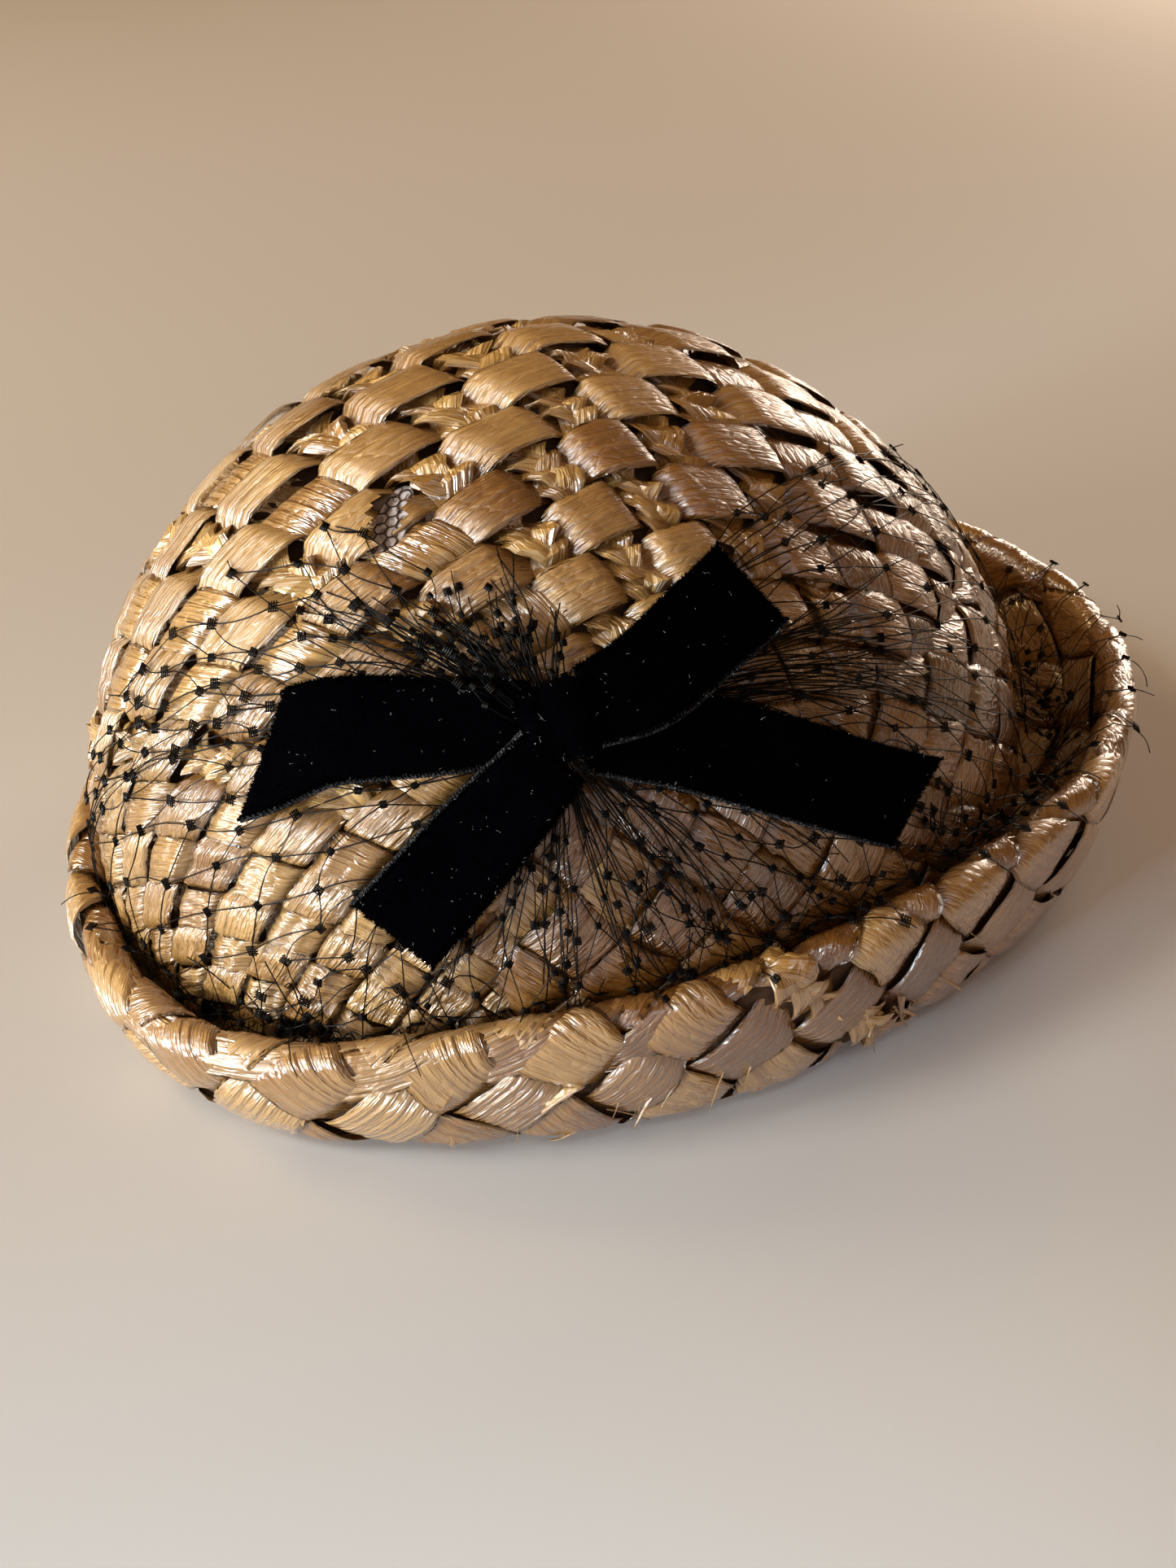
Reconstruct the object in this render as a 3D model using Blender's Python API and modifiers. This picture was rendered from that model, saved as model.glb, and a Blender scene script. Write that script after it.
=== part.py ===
"""Straw hat with a domed crown, a turned-up brim, a velvet bow and a coarse net veil.

The hat stands on the flat fold of its brim, with the origin under the middle of the brim's box.
+Z is up, +X is the end where the brim flares widest and -Y is the side that carries the bow.
Names ending in _MM are millimetres, names ending in _DEG are degrees, and meshes are in metres.

A place on the crown is given by two values: the plan angle, counter-clockwise from +X, and the
drop, which is the length along the surface from the top of the dome.
"""

import math

import bmesh
import bpy
import numpy as np
from mathutils import Matrix, Vector

MM = 0.001
QUARTER = math.pi / 2

# Crown
CROWN_TOP_MM = 109.0
CROWN_BASE_MM = 3.3
CROWN_LEAN_MM = -8.0
SIDE_POWER = 2.4
TOP_POWER = 1.65
MEAN_RADIUS_MM = 87.0
CROWN_WALL_MM = 2.3
RING_STEPS = 9
RING_SECTIONS = 36

# Foundation cap inside the crown
CAP_WALL_MM = 1.0
FIT_GAP_MM = 0.3

# Weave: flat straws one way and plaited straws the other way, on a lattice blocked over the dome
STRAW_PITCH_MM = 13.0
PLAIT_PITCH_MM = 12.0
WEAVE_TURN_DEG = 27.0
WEAVE_RELIEF_MM = 1.0
WEAVE_STEPS = 2

# Slit between two straws, at the front left of the dome
SLIT_AT = (216.7, 45.3)
SLIT_SIZE_MM = (2.8, 14.0, 12.0)
SLIT_TURN_DEG = 21.0

# Plan of the hat, one row for each 30 degrees counter-clockwise from +X.
# Columns: crown radius, fold radius, rim radius, rim height, all in millimetres.
PLAN_ROWS = (
    (95.0, 117.0, 126.0, 32.0),
    (90.0, 105.0, 115.0, 34.0),
    (80.5, 90.0, 95.0, 33.0),
    (77.0, 85.0, 87.0, 30.0),
    (82.0, 90.0, 92.0, 25.0),
    (94.0, 102.0, 104.0, 20.0),
    (99.5, 107.0, 109.0, 18.0),
    (93.0, 105.0, 107.0, 22.0),
    (81.5, 90.0, 90.5, 29.5),
    (77.0, 84.0, 85.0, 33.5),
    (81.0, 88.5, 90.0, 35.0),
    (91.0, 106.0, 109.0, 35.0),
)
CROWN_R, FOLD_R, RIM_R, RIM_Z = range(4)

# Brim
BRIM_SECTIONS = 84
BRIM_WALL_MM = 2.6
BRIM_FOOT_MM = 3.0
BRIM_SEAT_MM = 5.0
FOLD_BEND_MM = 5.0
ROLL_MM = 3.0
BRIM_BULGE_MM = 1.2
BRIM_STRAWS = 28
BRIM_RELIEF_MM = 0.9

# Bow of velvet ribbon; the knot sits at one place on the crown and the ends leave its sides
RIBBON_THICK_MM = 1.2
RIBBON_STEPS = 12
RIBBON_STRIPS = 3
KNOT_AT = (249.5, 76.0)
KNOT_SIZE_MM = (8.0, 10.0, 6.0)
KNOT_LIFT_MM = 3.9
KNOT_ROUND_MM = 1.8
# Columns: plan angle in degrees, drop, width, height of the ribbon's middle above the crown (mm).
RIBBON_ROWS = {
    "bow_left": (
        (245.4, 75.6, 8.5, 3.5),
        (235.2, 76.2, 10.5, 3.5),
        (226.0, 77.0, 13.5, 4.0),
        (219.0, 79.0, 15.5, 4.6),
        (211.3, 85.5, 16.0, 4.4),
    ),
    "bow_lower": (
        (248.0, 82.9, 9.0, 5.2),
        (240.0, 92.0, 12.5, 3.9),
        (234.5, 100.5, 14.5, 3.8),
        (229.0, 110.0, 16.0, 4.2),
    ),
    "bow_upper": (
        (253.8, 73.8, 9.5, 5.6),
        (262.0, 71.8, 12.5, 5.6),
        (273.0, 66.3, 14.5, 4.8),
        (285.8, 61.2, 16.0, 4.4),
    ),
    "bow_right": (
        (253.7, 78.8, 8.0, 3.5),
        (267.5, 82.5, 12.5, 3.5),
        (279.0, 89.5, 14.5, 3.8),
        (289.5, 98.0, 15.5, 4.4),
        (299.5, 106.8, 16.0, 5.0),
    ),
}

# Veil: a net gathered at the knot, which fans out over the front of the crown
VEIL_THREAD_MM = 0.7
VEIL_LIFT_MM = 1.45
VEIL_OUTER_LIFT_MM = 1.6
VEIL_SPOKES = 16
VEIL_RINGS = 9
VEIL_SPREAD = 1.5
VEIL_INNER_MM = 9.0
VEIL_REACH_MM = 52.0
VEIL_SIDE_REACH_MM = 52.0
VEIL_START_DEG = 112.0
VEIL_SWEEP_DEG = 305.0
VEIL_EDGE_MM = 36.0

# Name, colour, roughness, metallic
STRAW = ("glossy straw", (0.50, 0.29, 0.11), 0.35, 0.0)
NET_STIFF = ("stiffened foundation net", (0.52, 0.46, 0.41), 0.8, 0.0)
VELVET = ("black velvet ribbon", (0.008, 0.008, 0.01), 0.95, 0.0)
THREAD = ("black net thread", (0.012, 0.012, 0.014), 0.6, 0.0)


def plan(column, angle):
    """Reads a column of PLAN_ROWS at any angle in radians, on a smooth closed curve through it."""
    values = np.array([row[column] for row in PLAN_ROWS])
    count = len(values)
    place = (np.asarray(angle, float) / (2 * math.pi) * count) % count
    index = np.floor(place).astype(int)
    t = place - index
    before, start, end, after = (values[(index + k) % count] for k in (-1, 0, 1, 2))
    leave = (end - before) / 2
    arrive = (after - start) / 2
    return (
        start * (2 * t**3 - 3 * t**2 + 1)
        + leave * (t**3 - 2 * t**2 + t)
        + end * (3 * t**2 - 2 * t**3)
        + arrive * (t**3 - t**2)
    )


def profile(bend):
    """Reach and rise of the dome, both from 0 to 1, at a bend from 0 (top) to a quarter turn."""
    reach = np.sin(bend) ** (2 / TOP_POWER)
    rise = np.clip(np.cos(bend), 0, 1) ** (2 / SIDE_POWER)
    return reach, rise


def drop_table():
    """Bends, and the drop at each along a meridian of mean radius."""
    bends = np.linspace(0, QUARTER, 800)
    reach, rise = profile(bends)
    height = CROWN_TOP_MM - CROWN_BASE_MM
    steps = np.hypot(np.diff(reach) * MEAN_RADIUS_MM, np.diff(rise) * height)
    return bends, np.concatenate([[0], np.cumsum(steps)])


BENDS, DROPS = drop_table()
BASE_DROP_MM = DROPS[-1]


def dome(angle, drop):
    """Point of the crown in mm; past the base the wall goes straight down."""
    angle = np.asarray(angle, float)
    drop = np.asarray(drop, float)
    reach, rise = profile(np.interp(drop, DROPS, BENDS))
    radius = reach * plan(CROWN_R, angle)
    x = radius * np.cos(angle) + CROWN_LEAN_MM * rise
    y = radius * np.sin(angle)
    z = CROWN_BASE_MM + (CROWN_TOP_MM - CROWN_BASE_MM) * rise - np.clip(drop - BASE_DROP_MM, 0, None)
    return np.stack([x, y, z], -1)


def dome_normal(angle, drop):
    """Outward unit normal of the dome, from small steps along and across it."""
    turn = 0.01
    step = 0.5
    across = dome(angle + turn, drop) - dome(angle - turn, drop)
    down = dome(angle, drop + step) - dome(angle, np.maximum(drop - step, 0))
    normal = np.cross(down, across)
    length = np.linalg.norm(normal, axis=-1, keepdims=True)
    upright = np.broadcast_to([0.0, 0.0, 1.0], normal.shape)
    return np.where(length > 1e-6, normal / np.maximum(length, 1e-6), upright)


def raised(angle, drop, lift):
    """Point at a height above the dome, in mm."""
    lift = np.asarray(lift, float)[..., None]
    return dome(angle, drop) + dome_normal(angle, drop) * lift


def brim_profile(angle):
    """Closed section of the brim as (radius, height) in mm, from its seat outwards and back.

    A flat seat carries the crown, a round fold turns the brim up and its edge is rolled.
    """
    seat = plan(CROWN_R, angle) - BRIM_SEAT_MM
    fold = plan(FOLD_R, angle)
    rim = plan(RIM_R, angle)
    top = plan(RIM_Z, angle)
    turns = np.radians([30.0, 60.0])
    section = [(seat, 0.0), (fold - FOLD_BEND_MM, 0.0)]
    section += [
        (fold - FOLD_BEND_MM * (1 - math.sin(t)), FOLD_BEND_MM * (1 - math.cos(t))) for t in turns
    ]
    wall_top = top - ROLL_MM
    for share in (0.0, 0.3, 0.6):
        bulge = BRIM_BULGE_MM * math.sin(math.pi * share)
        relief = BRIM_RELIEF_MM * math.cos(BRIM_STRAWS * angle + 2 * math.pi * share)
        radius = fold + (rim - fold) * share + bulge + relief * (share > 0)
        section.append((radius, FOLD_BEND_MM + (wall_top - FOLD_BEND_MM) * share))
    for turn in np.radians([0.0, 45.0, 90.0, 135.0, 180.0, 225.0]):
        section.append((rim - ROLL_MM * (1 - math.cos(turn)), wall_top + ROLL_MM * math.sin(turn)))
    middle = (fold + rim) / 2
    section.append((middle - BRIM_WALL_MM, (FOLD_BEND_MM + wall_top) / 2))
    section.append((fold - BRIM_WALL_MM, FOLD_BEND_MM + 1))
    section.append((fold - FOLD_BEND_MM, BRIM_FOOT_MM))
    section.append((seat, BRIM_FOOT_MM))
    return np.array(section)


def brim_points():
    """Points of the brim in mm, a row for each section, and the middle of their box in plan."""
    angles = np.arange(BRIM_SECTIONS) / BRIM_SECTIONS * 2 * math.pi
    sections = np.array([brim_profile(angle) for angle in angles])
    radius, height = sections[..., 0], sections[..., 1]
    turn = angles[:, None]
    points = np.stack([radius * np.cos(turn), radius * np.sin(turn), height], -1)
    flat = points.reshape(-1, 3)
    middle = (flat.min(axis=0) + flat.max(axis=0)) / 2
    return points, np.array([middle[0], middle[1], 0.0])


BRIM_POINTS_MM, ORIGIN_MM = brim_points()


def dome_frame(place, lift):
    """World matrix at a place on the dome: X to the right along it, Y up it, Z outwards."""
    angle, drop = math.radians(place[0]), place[1]
    out = Vector(dome_normal(angle, drop))
    right = Vector((-math.sin(angle), math.cos(angle), 0))
    right = (right - out * right.dot(out)).normalized()
    up = out.cross(right)
    matrix = Matrix((right, up, out)).transposed().to_4x4()
    matrix.translation = Vector(raised(angle, drop, lift) - ORIGIN_MM) * MM
    return matrix


def add_material(thing, finish):
    name, colour, roughness, metallic = finish
    made = bpy.data.materials.get(name) or bpy.data.materials.new(name)
    made.use_nodes = True
    shader = made.node_tree.nodes["Principled BSDF"]
    shader.inputs["Base Color"].default_value = (*colour, 1)
    shader.inputs["Roughness"].default_value = roughness
    shader.inputs["Metallic"].default_value = metallic
    thing.data.materials.append(made)


def mesh_object(name, points_mm, faces, collection, finish=None):
    """Smooth-shaded object from points in mm about the plan's centre, and faces."""
    mesh = bpy.data.meshes.new(name)
    mesh.from_pydata(((np.asarray(points_mm) - ORIGIN_MM) * MM).tolist(), [], faces)
    thing = bpy.data.objects.new(name, mesh)
    collection.objects.link(thing)
    mesh.shade_smooth()
    if finish:
        add_material(thing, finish)
    return thing


def edit(thing, change):
    """Runs a bmesh change on an object's mesh."""
    work = bmesh.new()
    work.from_mesh(thing.data)
    change(work)
    bmesh.ops.recalc_face_normals(work, faces=work.faces)
    work.to_mesh(thing.data)
    work.free()


def drop_loose(work):
    """Takes away points that no face uses."""
    loose = [vert for vert in work.verts if not vert.link_faces]
    bmesh.ops.delete(work, geom=loose, context="VERTS")


def close(work):
    """Fills each open edge loop with a face."""
    bmesh.ops.holes_fill(work, edges=[edge for edge in work.edges if edge.is_boundary])


def grid_faces(rows, columns, closed=False):
    """Quads of a grid stored row by row; closed joins the last column to the first."""
    faces = []
    for i in range(rows - 1):
        for j in range(columns if closed else columns - 1):
            k = (j + 1) % columns
            near = i * columns
            far = near + columns
            faces.append((near + j, near + k, far + k, far + j))
    return faces


def ring_dome(name, lift, last_drops, collection, finish=None):
    """Open dome of rings around a point at its top, at a height above the crown's surface.

    The rings are even, and the drops at the bottom are given, so that domes of one family nest.
    """
    even = np.linspace(0, BASE_DROP_MM, RING_STEPS + 1)
    drops = np.append(even[1:-1], last_drops)
    angles = np.arange(RING_SECTIONS) / RING_SECTIONS * 2 * math.pi
    around, down = np.meshgrid(angles, drops)
    points = raised(around, down, np.full(around.shape, lift)).reshape(-1, 3)
    top = raised(0.0, 0.0, lift).reshape(1, 3)
    faces = [face[::-1] for face in grid_faces(len(drops), RING_SECTIONS, closed=True)]
    apex = len(points)
    faces += [(apex, j, (j + 1) % RING_SECTIONS) for j in range(RING_SECTIONS)]
    return mesh_object(name, np.concatenate([points, top]), faces, collection, finish)


def weave_relief(across, along):
    """1 at the middle of each crossing of the weave, 0 between two, -1 where four meet."""
    ridge = np.abs(np.cos(math.pi * across / STRAW_PITCH_MM))
    crest = np.abs(np.cos(math.pi * along / PLAIT_PITCH_MM))
    return ridge + crest - 1


def make_crown(parts, cutters):
    """Woven dome: the lattice is laid over the form, cut level at its base and hollowed."""
    reach = BASE_DROP_MM + STRAW_PITCH_MM
    across_step = STRAW_PITCH_MM / WEAVE_STEPS
    along_step = PLAIT_PITCH_MM / WEAVE_STEPS
    half_rows = math.ceil(reach / across_step)
    half_columns = math.ceil(reach / along_step)
    across, along = np.meshgrid(
        np.arange(-half_rows, half_rows + 1) * across_step,
        np.arange(-half_columns, half_columns + 1) * along_step,
        indexing="ij",
    )
    drop = np.hypot(across, along)
    angle = np.arctan2(along, across) + math.radians(WEAVE_TURN_DEG)
    points = raised(angle, drop, weave_relief(across, along) * WEAVE_RELIEF_MM).reshape(-1, 3)
    inside = (drop < reach).ravel()
    faces = [face for face in grid_faces(*drop.shape) if inside[list(face)].all()]
    crown = mesh_object("crown", points, faces, parts, STRAW)

    def cut_level(work):
        drop_loose(work)
        bmesh.ops.bisect_plane(
            work,
            geom=work.verts[:] + work.edges[:] + work.faces[:],
            dist=1e-7,
            plane_co=(0, 0, CROWN_BASE_MM * MM),
            plane_no=(0, 0, -1),
            clear_outer=True,
        )
        close(work)

    edit(crown, cut_level)
    below = BASE_DROP_MM + 2 * CROWN_BASE_MM
    hollow = ring_dome("crown_hollow", -CROWN_WALL_MM, [BASE_DROP_MM, below], cutters)
    edit(hollow, close)
    cut_away(crown, hollow)
    cut_away(crown, box("slit", SLIT_AT, SLIT_SIZE_MM, 0.0, SLIT_TURN_DEG, cutters))


def cut_away(thing, cutter):
    """Boolean that takes the cutter away; the cutter stays as a hidden guide."""
    cutter.hide_render = True
    cutter.display_type = "WIRE"
    cut = thing.modifiers.new(cutter.name, "BOOLEAN")
    cut.operation = "DIFFERENCE"
    cut.solver = "EXACT"
    cut.object = cutter


def box(name, place, size_mm, lift, turn_deg, collection):
    """Box on the dome, its Z side outwards, turned about its normal."""
    bpy.ops.mesh.primitive_cube_add(size=1)
    thing = bpy.context.object
    thing.name = name
    for owner in list(thing.users_collection):
        owner.objects.unlink(thing)
    collection.objects.link(thing)
    thing.data.transform(Matrix.Diagonal(Vector(size_mm) * MM).to_4x4())
    thing.matrix_world = dome_frame(place, lift) @ Matrix.Rotation(math.radians(turn_deg), 4, "Z")
    return thing


def make_cap(parts):
    """Foundation cap: a thin shell one fitting gap inside the crown."""
    lift = -CROWN_WALL_MM - FIT_GAP_MM
    cap = ring_dome("foundation_cap", lift, [BASE_DROP_MM - FIT_GAP_MM], parts, NET_STIFF)
    wall = cap.modifiers.new("wall", "SOLIDIFY")
    wall.thickness = CAP_WALL_MM * MM
    wall.offset = -1


def make_brim(parts):
    """Loft through the sections of the brim, all the way round."""
    around = np.concatenate([BRIM_POINTS_MM, BRIM_POINTS_MM[:1]])
    faces = grid_faces(BRIM_SECTIONS + 1, around.shape[1], closed=True)
    brim = mesh_object("brim", around.reshape(-1, 3), faces, parts, STRAW)
    edit(brim, lambda work: bmesh.ops.remove_doubles(work, verts=work.verts, dist=1e-6))


def make_ribbon(name, rows, parts):
    """Ribbon end along a path on the dome, straight across its width."""
    table = np.array(rows)
    stations = np.linspace(0, len(rows) - 1, RIBBON_STEPS)
    angle, drop, width, lift = (np.interp(stations, range(len(rows)), column) for column in table.T)
    angle = np.radians(angle)
    middle = raised(angle, drop, lift)
    along = np.gradient(middle, axis=0)
    across = np.cross(dome_normal(angle, drop), along)
    across /= np.linalg.norm(across, axis=1, keepdims=True)
    shares = np.linspace(-0.5, 0.5, RIBBON_STRIPS + 1)
    points = middle[:, None] + across[:, None] * (width[:, None] * shares)[..., None]
    faces = grid_faces(RIBBON_STEPS, RIBBON_STRIPS + 1)
    ribbon = mesh_object(name, points.reshape(-1, 3), faces, parts, VELVET)
    cloth = ribbon.modifiers.new("cloth", "SOLIDIFY")
    cloth.thickness = RIBBON_THICK_MM * MM
    cloth.offset = 0


def make_knot(parts):
    """Rounded knot in the middle of the bow."""
    knot = box("bow_knot", KNOT_AT, KNOT_SIZE_MM, KNOT_LIFT_MM, 0.0, parts)
    knot.data.shade_smooth()
    rounding = knot.modifiers.new("rounding", "BEVEL")
    rounding.width = KNOT_ROUND_MM * MM
    rounding.segments = 3
    add_material(knot, VELVET)


def veil_point(spoke, ring):
    """Point of the veil; spokes turn about the knot, and rings lie wider apart further out.

    The fan is flat about the knot and is then laid over the dome. It ends short of the brim.
    """
    turn = math.radians(VEIL_START_DEG + VEIL_SWEEP_DEG * spoke / VEIL_SPOKES)
    knot_angle, knot_drop = math.radians(KNOT_AT[0]), KNOT_AT[1]
    girth = np.linalg.norm(dome(knot_angle, knot_drop)[:2]) / knot_drop
    outwards = np.array([math.cos(knot_angle), math.sin(knot_angle)])
    sideways = np.array([-outwards[1], outwards[0]])
    heading = sideways * math.cos(turn) / girth - outwards * math.sin(turn)
    home = outwards * knot_drop
    edge = BASE_DROP_MM - VEIL_EDGE_MM
    lean = home.dot(heading)
    size = heading.dot(heading)
    to_edge = (-lean + math.sqrt(lean**2 + size * (edge**2 - knot_drop**2))) / size
    reach = min(to_edge, VEIL_REACH_MM + VEIL_SIDE_REACH_MM * math.cos(turn) ** 2)
    share = ring / (VEIL_RINGS - 1)
    distance = VEIL_INNER_MM + (reach - VEIL_INNER_MM) * share**VEIL_SPREAD
    place = home + heading * distance
    lift = VEIL_LIFT_MM + VEIL_OUTER_LIFT_MM * share
    return raised(math.atan2(place[1], place[0]), np.hypot(*place), lift)


def make_veil(parts):
    """Diamond net: every second ring is half a spoke round, and each mesh spans two rings."""
    points = []
    for ring in range(VEIL_RINGS):
        for spoke in range(VEIL_SPOKES):
            points.append(veil_point(spoke + (ring % 2) / 2, ring))
    faces = []
    for ring in range(VEIL_RINGS - 2):
        for spoke in range(VEIL_SPOKES):
            left = spoke - (1 - ring % 2)
            right = left + 1
            if left < 0 or right >= VEIL_SPOKES:
                continue
            inner = ring * VEIL_SPOKES
            middle = inner + VEIL_SPOKES
            outer = middle + VEIL_SPOKES
            faces.append((inner + spoke, middle + left, outer + spoke, middle + right))
    veil = mesh_object("veil", points, faces, parts, THREAD)
    edit(veil, drop_loose)
    net = veil.modifiers.new("net", "WIREFRAME")
    net.thickness = VEIL_THREAD_MM * MM
    net.use_boundary = True
    net.use_replace = True
    net.use_even_offset = False
    net.offset = 0


def main():
    for thing in list(bpy.data.objects):
        bpy.data.objects.remove(thing)
    parts = bpy.data.collections.new("Straw hat")
    cutters = bpy.data.collections.new("Cutters")
    bpy.context.scene.collection.children.link(parts)
    bpy.context.scene.collection.children.link(cutters)
    make_crown(parts, cutters)
    make_cap(parts)
    make_brim(parts)
    for name, rows in RIBBON_ROWS.items():
        make_ribbon(name, rows, parts)
    make_knot(parts)
    make_veil(parts)


main()
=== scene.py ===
# %% [markdown]
# # A straw hat with a velvet bow and a net veil
# The hat is a small dome of woven viscose straw with a turned-up brim. A black velvet bow
# sits on its front, and a coarse knotted net fans out from under the bow.
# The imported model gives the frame: where each part is and how big it may be. Everything here
# is dressed over it, in the same metres and the same axes.

# %% Load the fixed frame
import math

import bpy
import numpy as np
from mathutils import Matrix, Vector


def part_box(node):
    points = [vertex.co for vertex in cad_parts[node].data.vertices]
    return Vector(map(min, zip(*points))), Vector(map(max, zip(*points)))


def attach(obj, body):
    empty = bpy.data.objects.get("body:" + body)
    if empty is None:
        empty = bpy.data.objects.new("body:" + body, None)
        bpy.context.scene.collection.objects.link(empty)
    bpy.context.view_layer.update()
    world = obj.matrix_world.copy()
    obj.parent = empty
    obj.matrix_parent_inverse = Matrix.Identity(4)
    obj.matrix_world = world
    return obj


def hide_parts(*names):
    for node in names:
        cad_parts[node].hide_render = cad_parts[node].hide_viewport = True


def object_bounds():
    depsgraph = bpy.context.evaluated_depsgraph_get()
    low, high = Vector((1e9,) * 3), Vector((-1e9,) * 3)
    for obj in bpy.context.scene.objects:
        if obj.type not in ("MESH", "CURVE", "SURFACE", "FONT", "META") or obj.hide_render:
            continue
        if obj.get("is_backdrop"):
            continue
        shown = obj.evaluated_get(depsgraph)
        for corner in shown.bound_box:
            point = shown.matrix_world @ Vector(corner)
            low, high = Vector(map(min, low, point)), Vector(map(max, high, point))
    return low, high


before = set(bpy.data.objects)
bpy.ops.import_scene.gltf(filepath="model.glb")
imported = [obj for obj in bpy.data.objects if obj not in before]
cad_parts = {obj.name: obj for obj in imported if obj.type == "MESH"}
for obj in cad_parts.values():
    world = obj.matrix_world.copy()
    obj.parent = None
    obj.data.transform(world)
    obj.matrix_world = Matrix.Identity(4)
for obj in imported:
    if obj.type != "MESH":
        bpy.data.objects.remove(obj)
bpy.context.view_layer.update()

MM = 0.001
print("nodes in the frame:", sorted(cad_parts))

# %% [markdown]
# ## The form under the straw
# A hat is blocked: damp straw is pulled over a wooden form and dries in its shape. Here the form
# is a function. A place on it is a plan angle and a drop, the length along the surface from the
# top. The plan is a table with a row for each 30 degrees, read on a smooth closed curve.

# %% Sizes of the form, in millimetres
CROWN_TOP_MM = 109.0
CROWN_BASE_MM = 3.3
CROWN_LEAN_MM = -8.0
SIDE_POWER = 2.4
TOP_POWER = 1.65
MEAN_RADIUS_MM = 87.0
# Columns: crown radius, fold radius, rim radius, rim height.
PLAN_ROWS = np.array([
    (95.0, 117.0, 126.0, 32.0),
    (90.0, 105.0, 115.0, 34.0),
    (80.5, 90.0, 95.0, 33.0),
    (77.0, 85.0, 87.0, 30.0),
    (82.0, 90.0, 92.0, 25.0),
    (94.0, 102.0, 104.0, 20.0),
    (99.5, 107.0, 109.0, 18.0),
    (93.0, 105.0, 107.0, 22.0),
    (81.5, 90.0, 90.5, 29.5),
    (77.0, 84.0, 85.0, 33.5),
    (81.0, 88.5, 90.0, 35.0),
    (91.0, 106.0, 109.0, 35.0),
])
CROWN_R, FOLD_R, RIM_R, RIM_Z = range(4)


def through(values, place):
    """Smooth curve through values at whole-number places, closed on itself: cubic pieces whose slope
    at each value is half the step between its neighbours."""
    count = len(values)
    index = np.floor(place).astype(int)
    t = place - index
    before, start, end, after = (values[(index + k) % count] for k in (-1, 0, 1, 2))
    return (
        start * (2 * t**3 - 3 * t**2 + 1)
        + (end - before) / 2 * (t**3 - 2 * t**2 + t)
        + end * (3 * t**2 - 2 * t**3)
        + (after - start) / 2 * (t**3 - t**2)
    )


def plan(column, angle):
    """A column of the plan at any angle in radians."""
    return through(PLAN_ROWS[:, column], np.asarray(angle, float) / (2 * np.pi) * 12)


def profile(bend):
    """Reach and rise of the dome, 0 to 1: powers of the sine and the cosine of a quarter turn."""
    return np.sin(bend) ** (2 / TOP_POWER), np.clip(np.cos(bend), 0, 1) ** (2 / SIDE_POWER)


BENDS = np.linspace(0, np.pi / 2, 800)
reach, rise = profile(BENDS)
DROPS = np.concatenate([[0], np.cumsum(np.hypot(
    np.diff(reach) * MEAN_RADIUS_MM, np.diff(rise) * (CROWN_TOP_MM - CROWN_BASE_MM)))])
BASE_DROP_MM = DROPS[-1]
print(f"drop from the top to the base: {BASE_DROP_MM:.1f} mm")


# %% Points and normals on the dome
def dome(angle, drop):
    """Point of the dome in mm: reach carries the plan outwards, rise lifts it and leans it over."""
    reach, rise = profile(np.interp(drop, DROPS, BENDS))
    radius = reach * plan(CROWN_R, angle)
    height = CROWN_BASE_MM + (CROWN_TOP_MM - CROWN_BASE_MM) * rise
    return np.stack([radius * np.cos(angle) + CROWN_LEAN_MM * rise, radius * np.sin(angle), height], -1)


def unit(vectors):
    """Vectors divided by their length."""
    return vectors / np.maximum(np.linalg.norm(vectors, axis=-1, keepdims=True), 1e-9)


def polar(plane):
    """Angle and length of places in a plane."""
    return np.arctan2(plane[..., 1], plane[..., 0]), np.hypot(plane[..., 0], plane[..., 1])


def in_plane(angle, length):
    """Places in a plane: the length times the cosine and the sine of the angle."""
    return np.stack([length * np.cos(angle), length * np.sin(angle)], -1)


def raised(angle, drop, lift):
    """Point at a height above the dome, along the cross product of its two directions."""
    drop = np.clip(drop, 0.3, BASE_DROP_MM)
    across = dome(angle + 0.01, drop) - dome(angle - 0.01, drop)
    down = dome(angle, np.minimum(drop + 0.5, BASE_DROP_MM)) - dome(angle, np.maximum(drop - 0.5, 0))
    return dome(angle, drop) + unit(np.cross(down, across)) * np.asarray(lift)[..., None]


# %% [markdown]
# ## The form of the brim
# The brim leaves the crown's foot, folds up and ends in a rolled rim. Its section is a short list
# of points at each angle. The list is joined by a smooth line and measured from the top of the
# roll, so that straws can run over the rim: lengths below zero lie on the side of the crown.

# %% Table of the brim's surface
BRIM_WALL_MM, BRIM_FOOT_MM, BRIM_SEAT_MM = 2.6, 3.0, 5.0
FOLD_BEND_MM, ROLL_MM, BRIM_BULGE_MM = 5.0, 3.0, 1.2
AROUND = np.linspace(0, 2 * np.pi, 361)
BRIM_MEAN_MM = 96.0
ARC_MM = np.arange(-80.0, 92.0)


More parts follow.
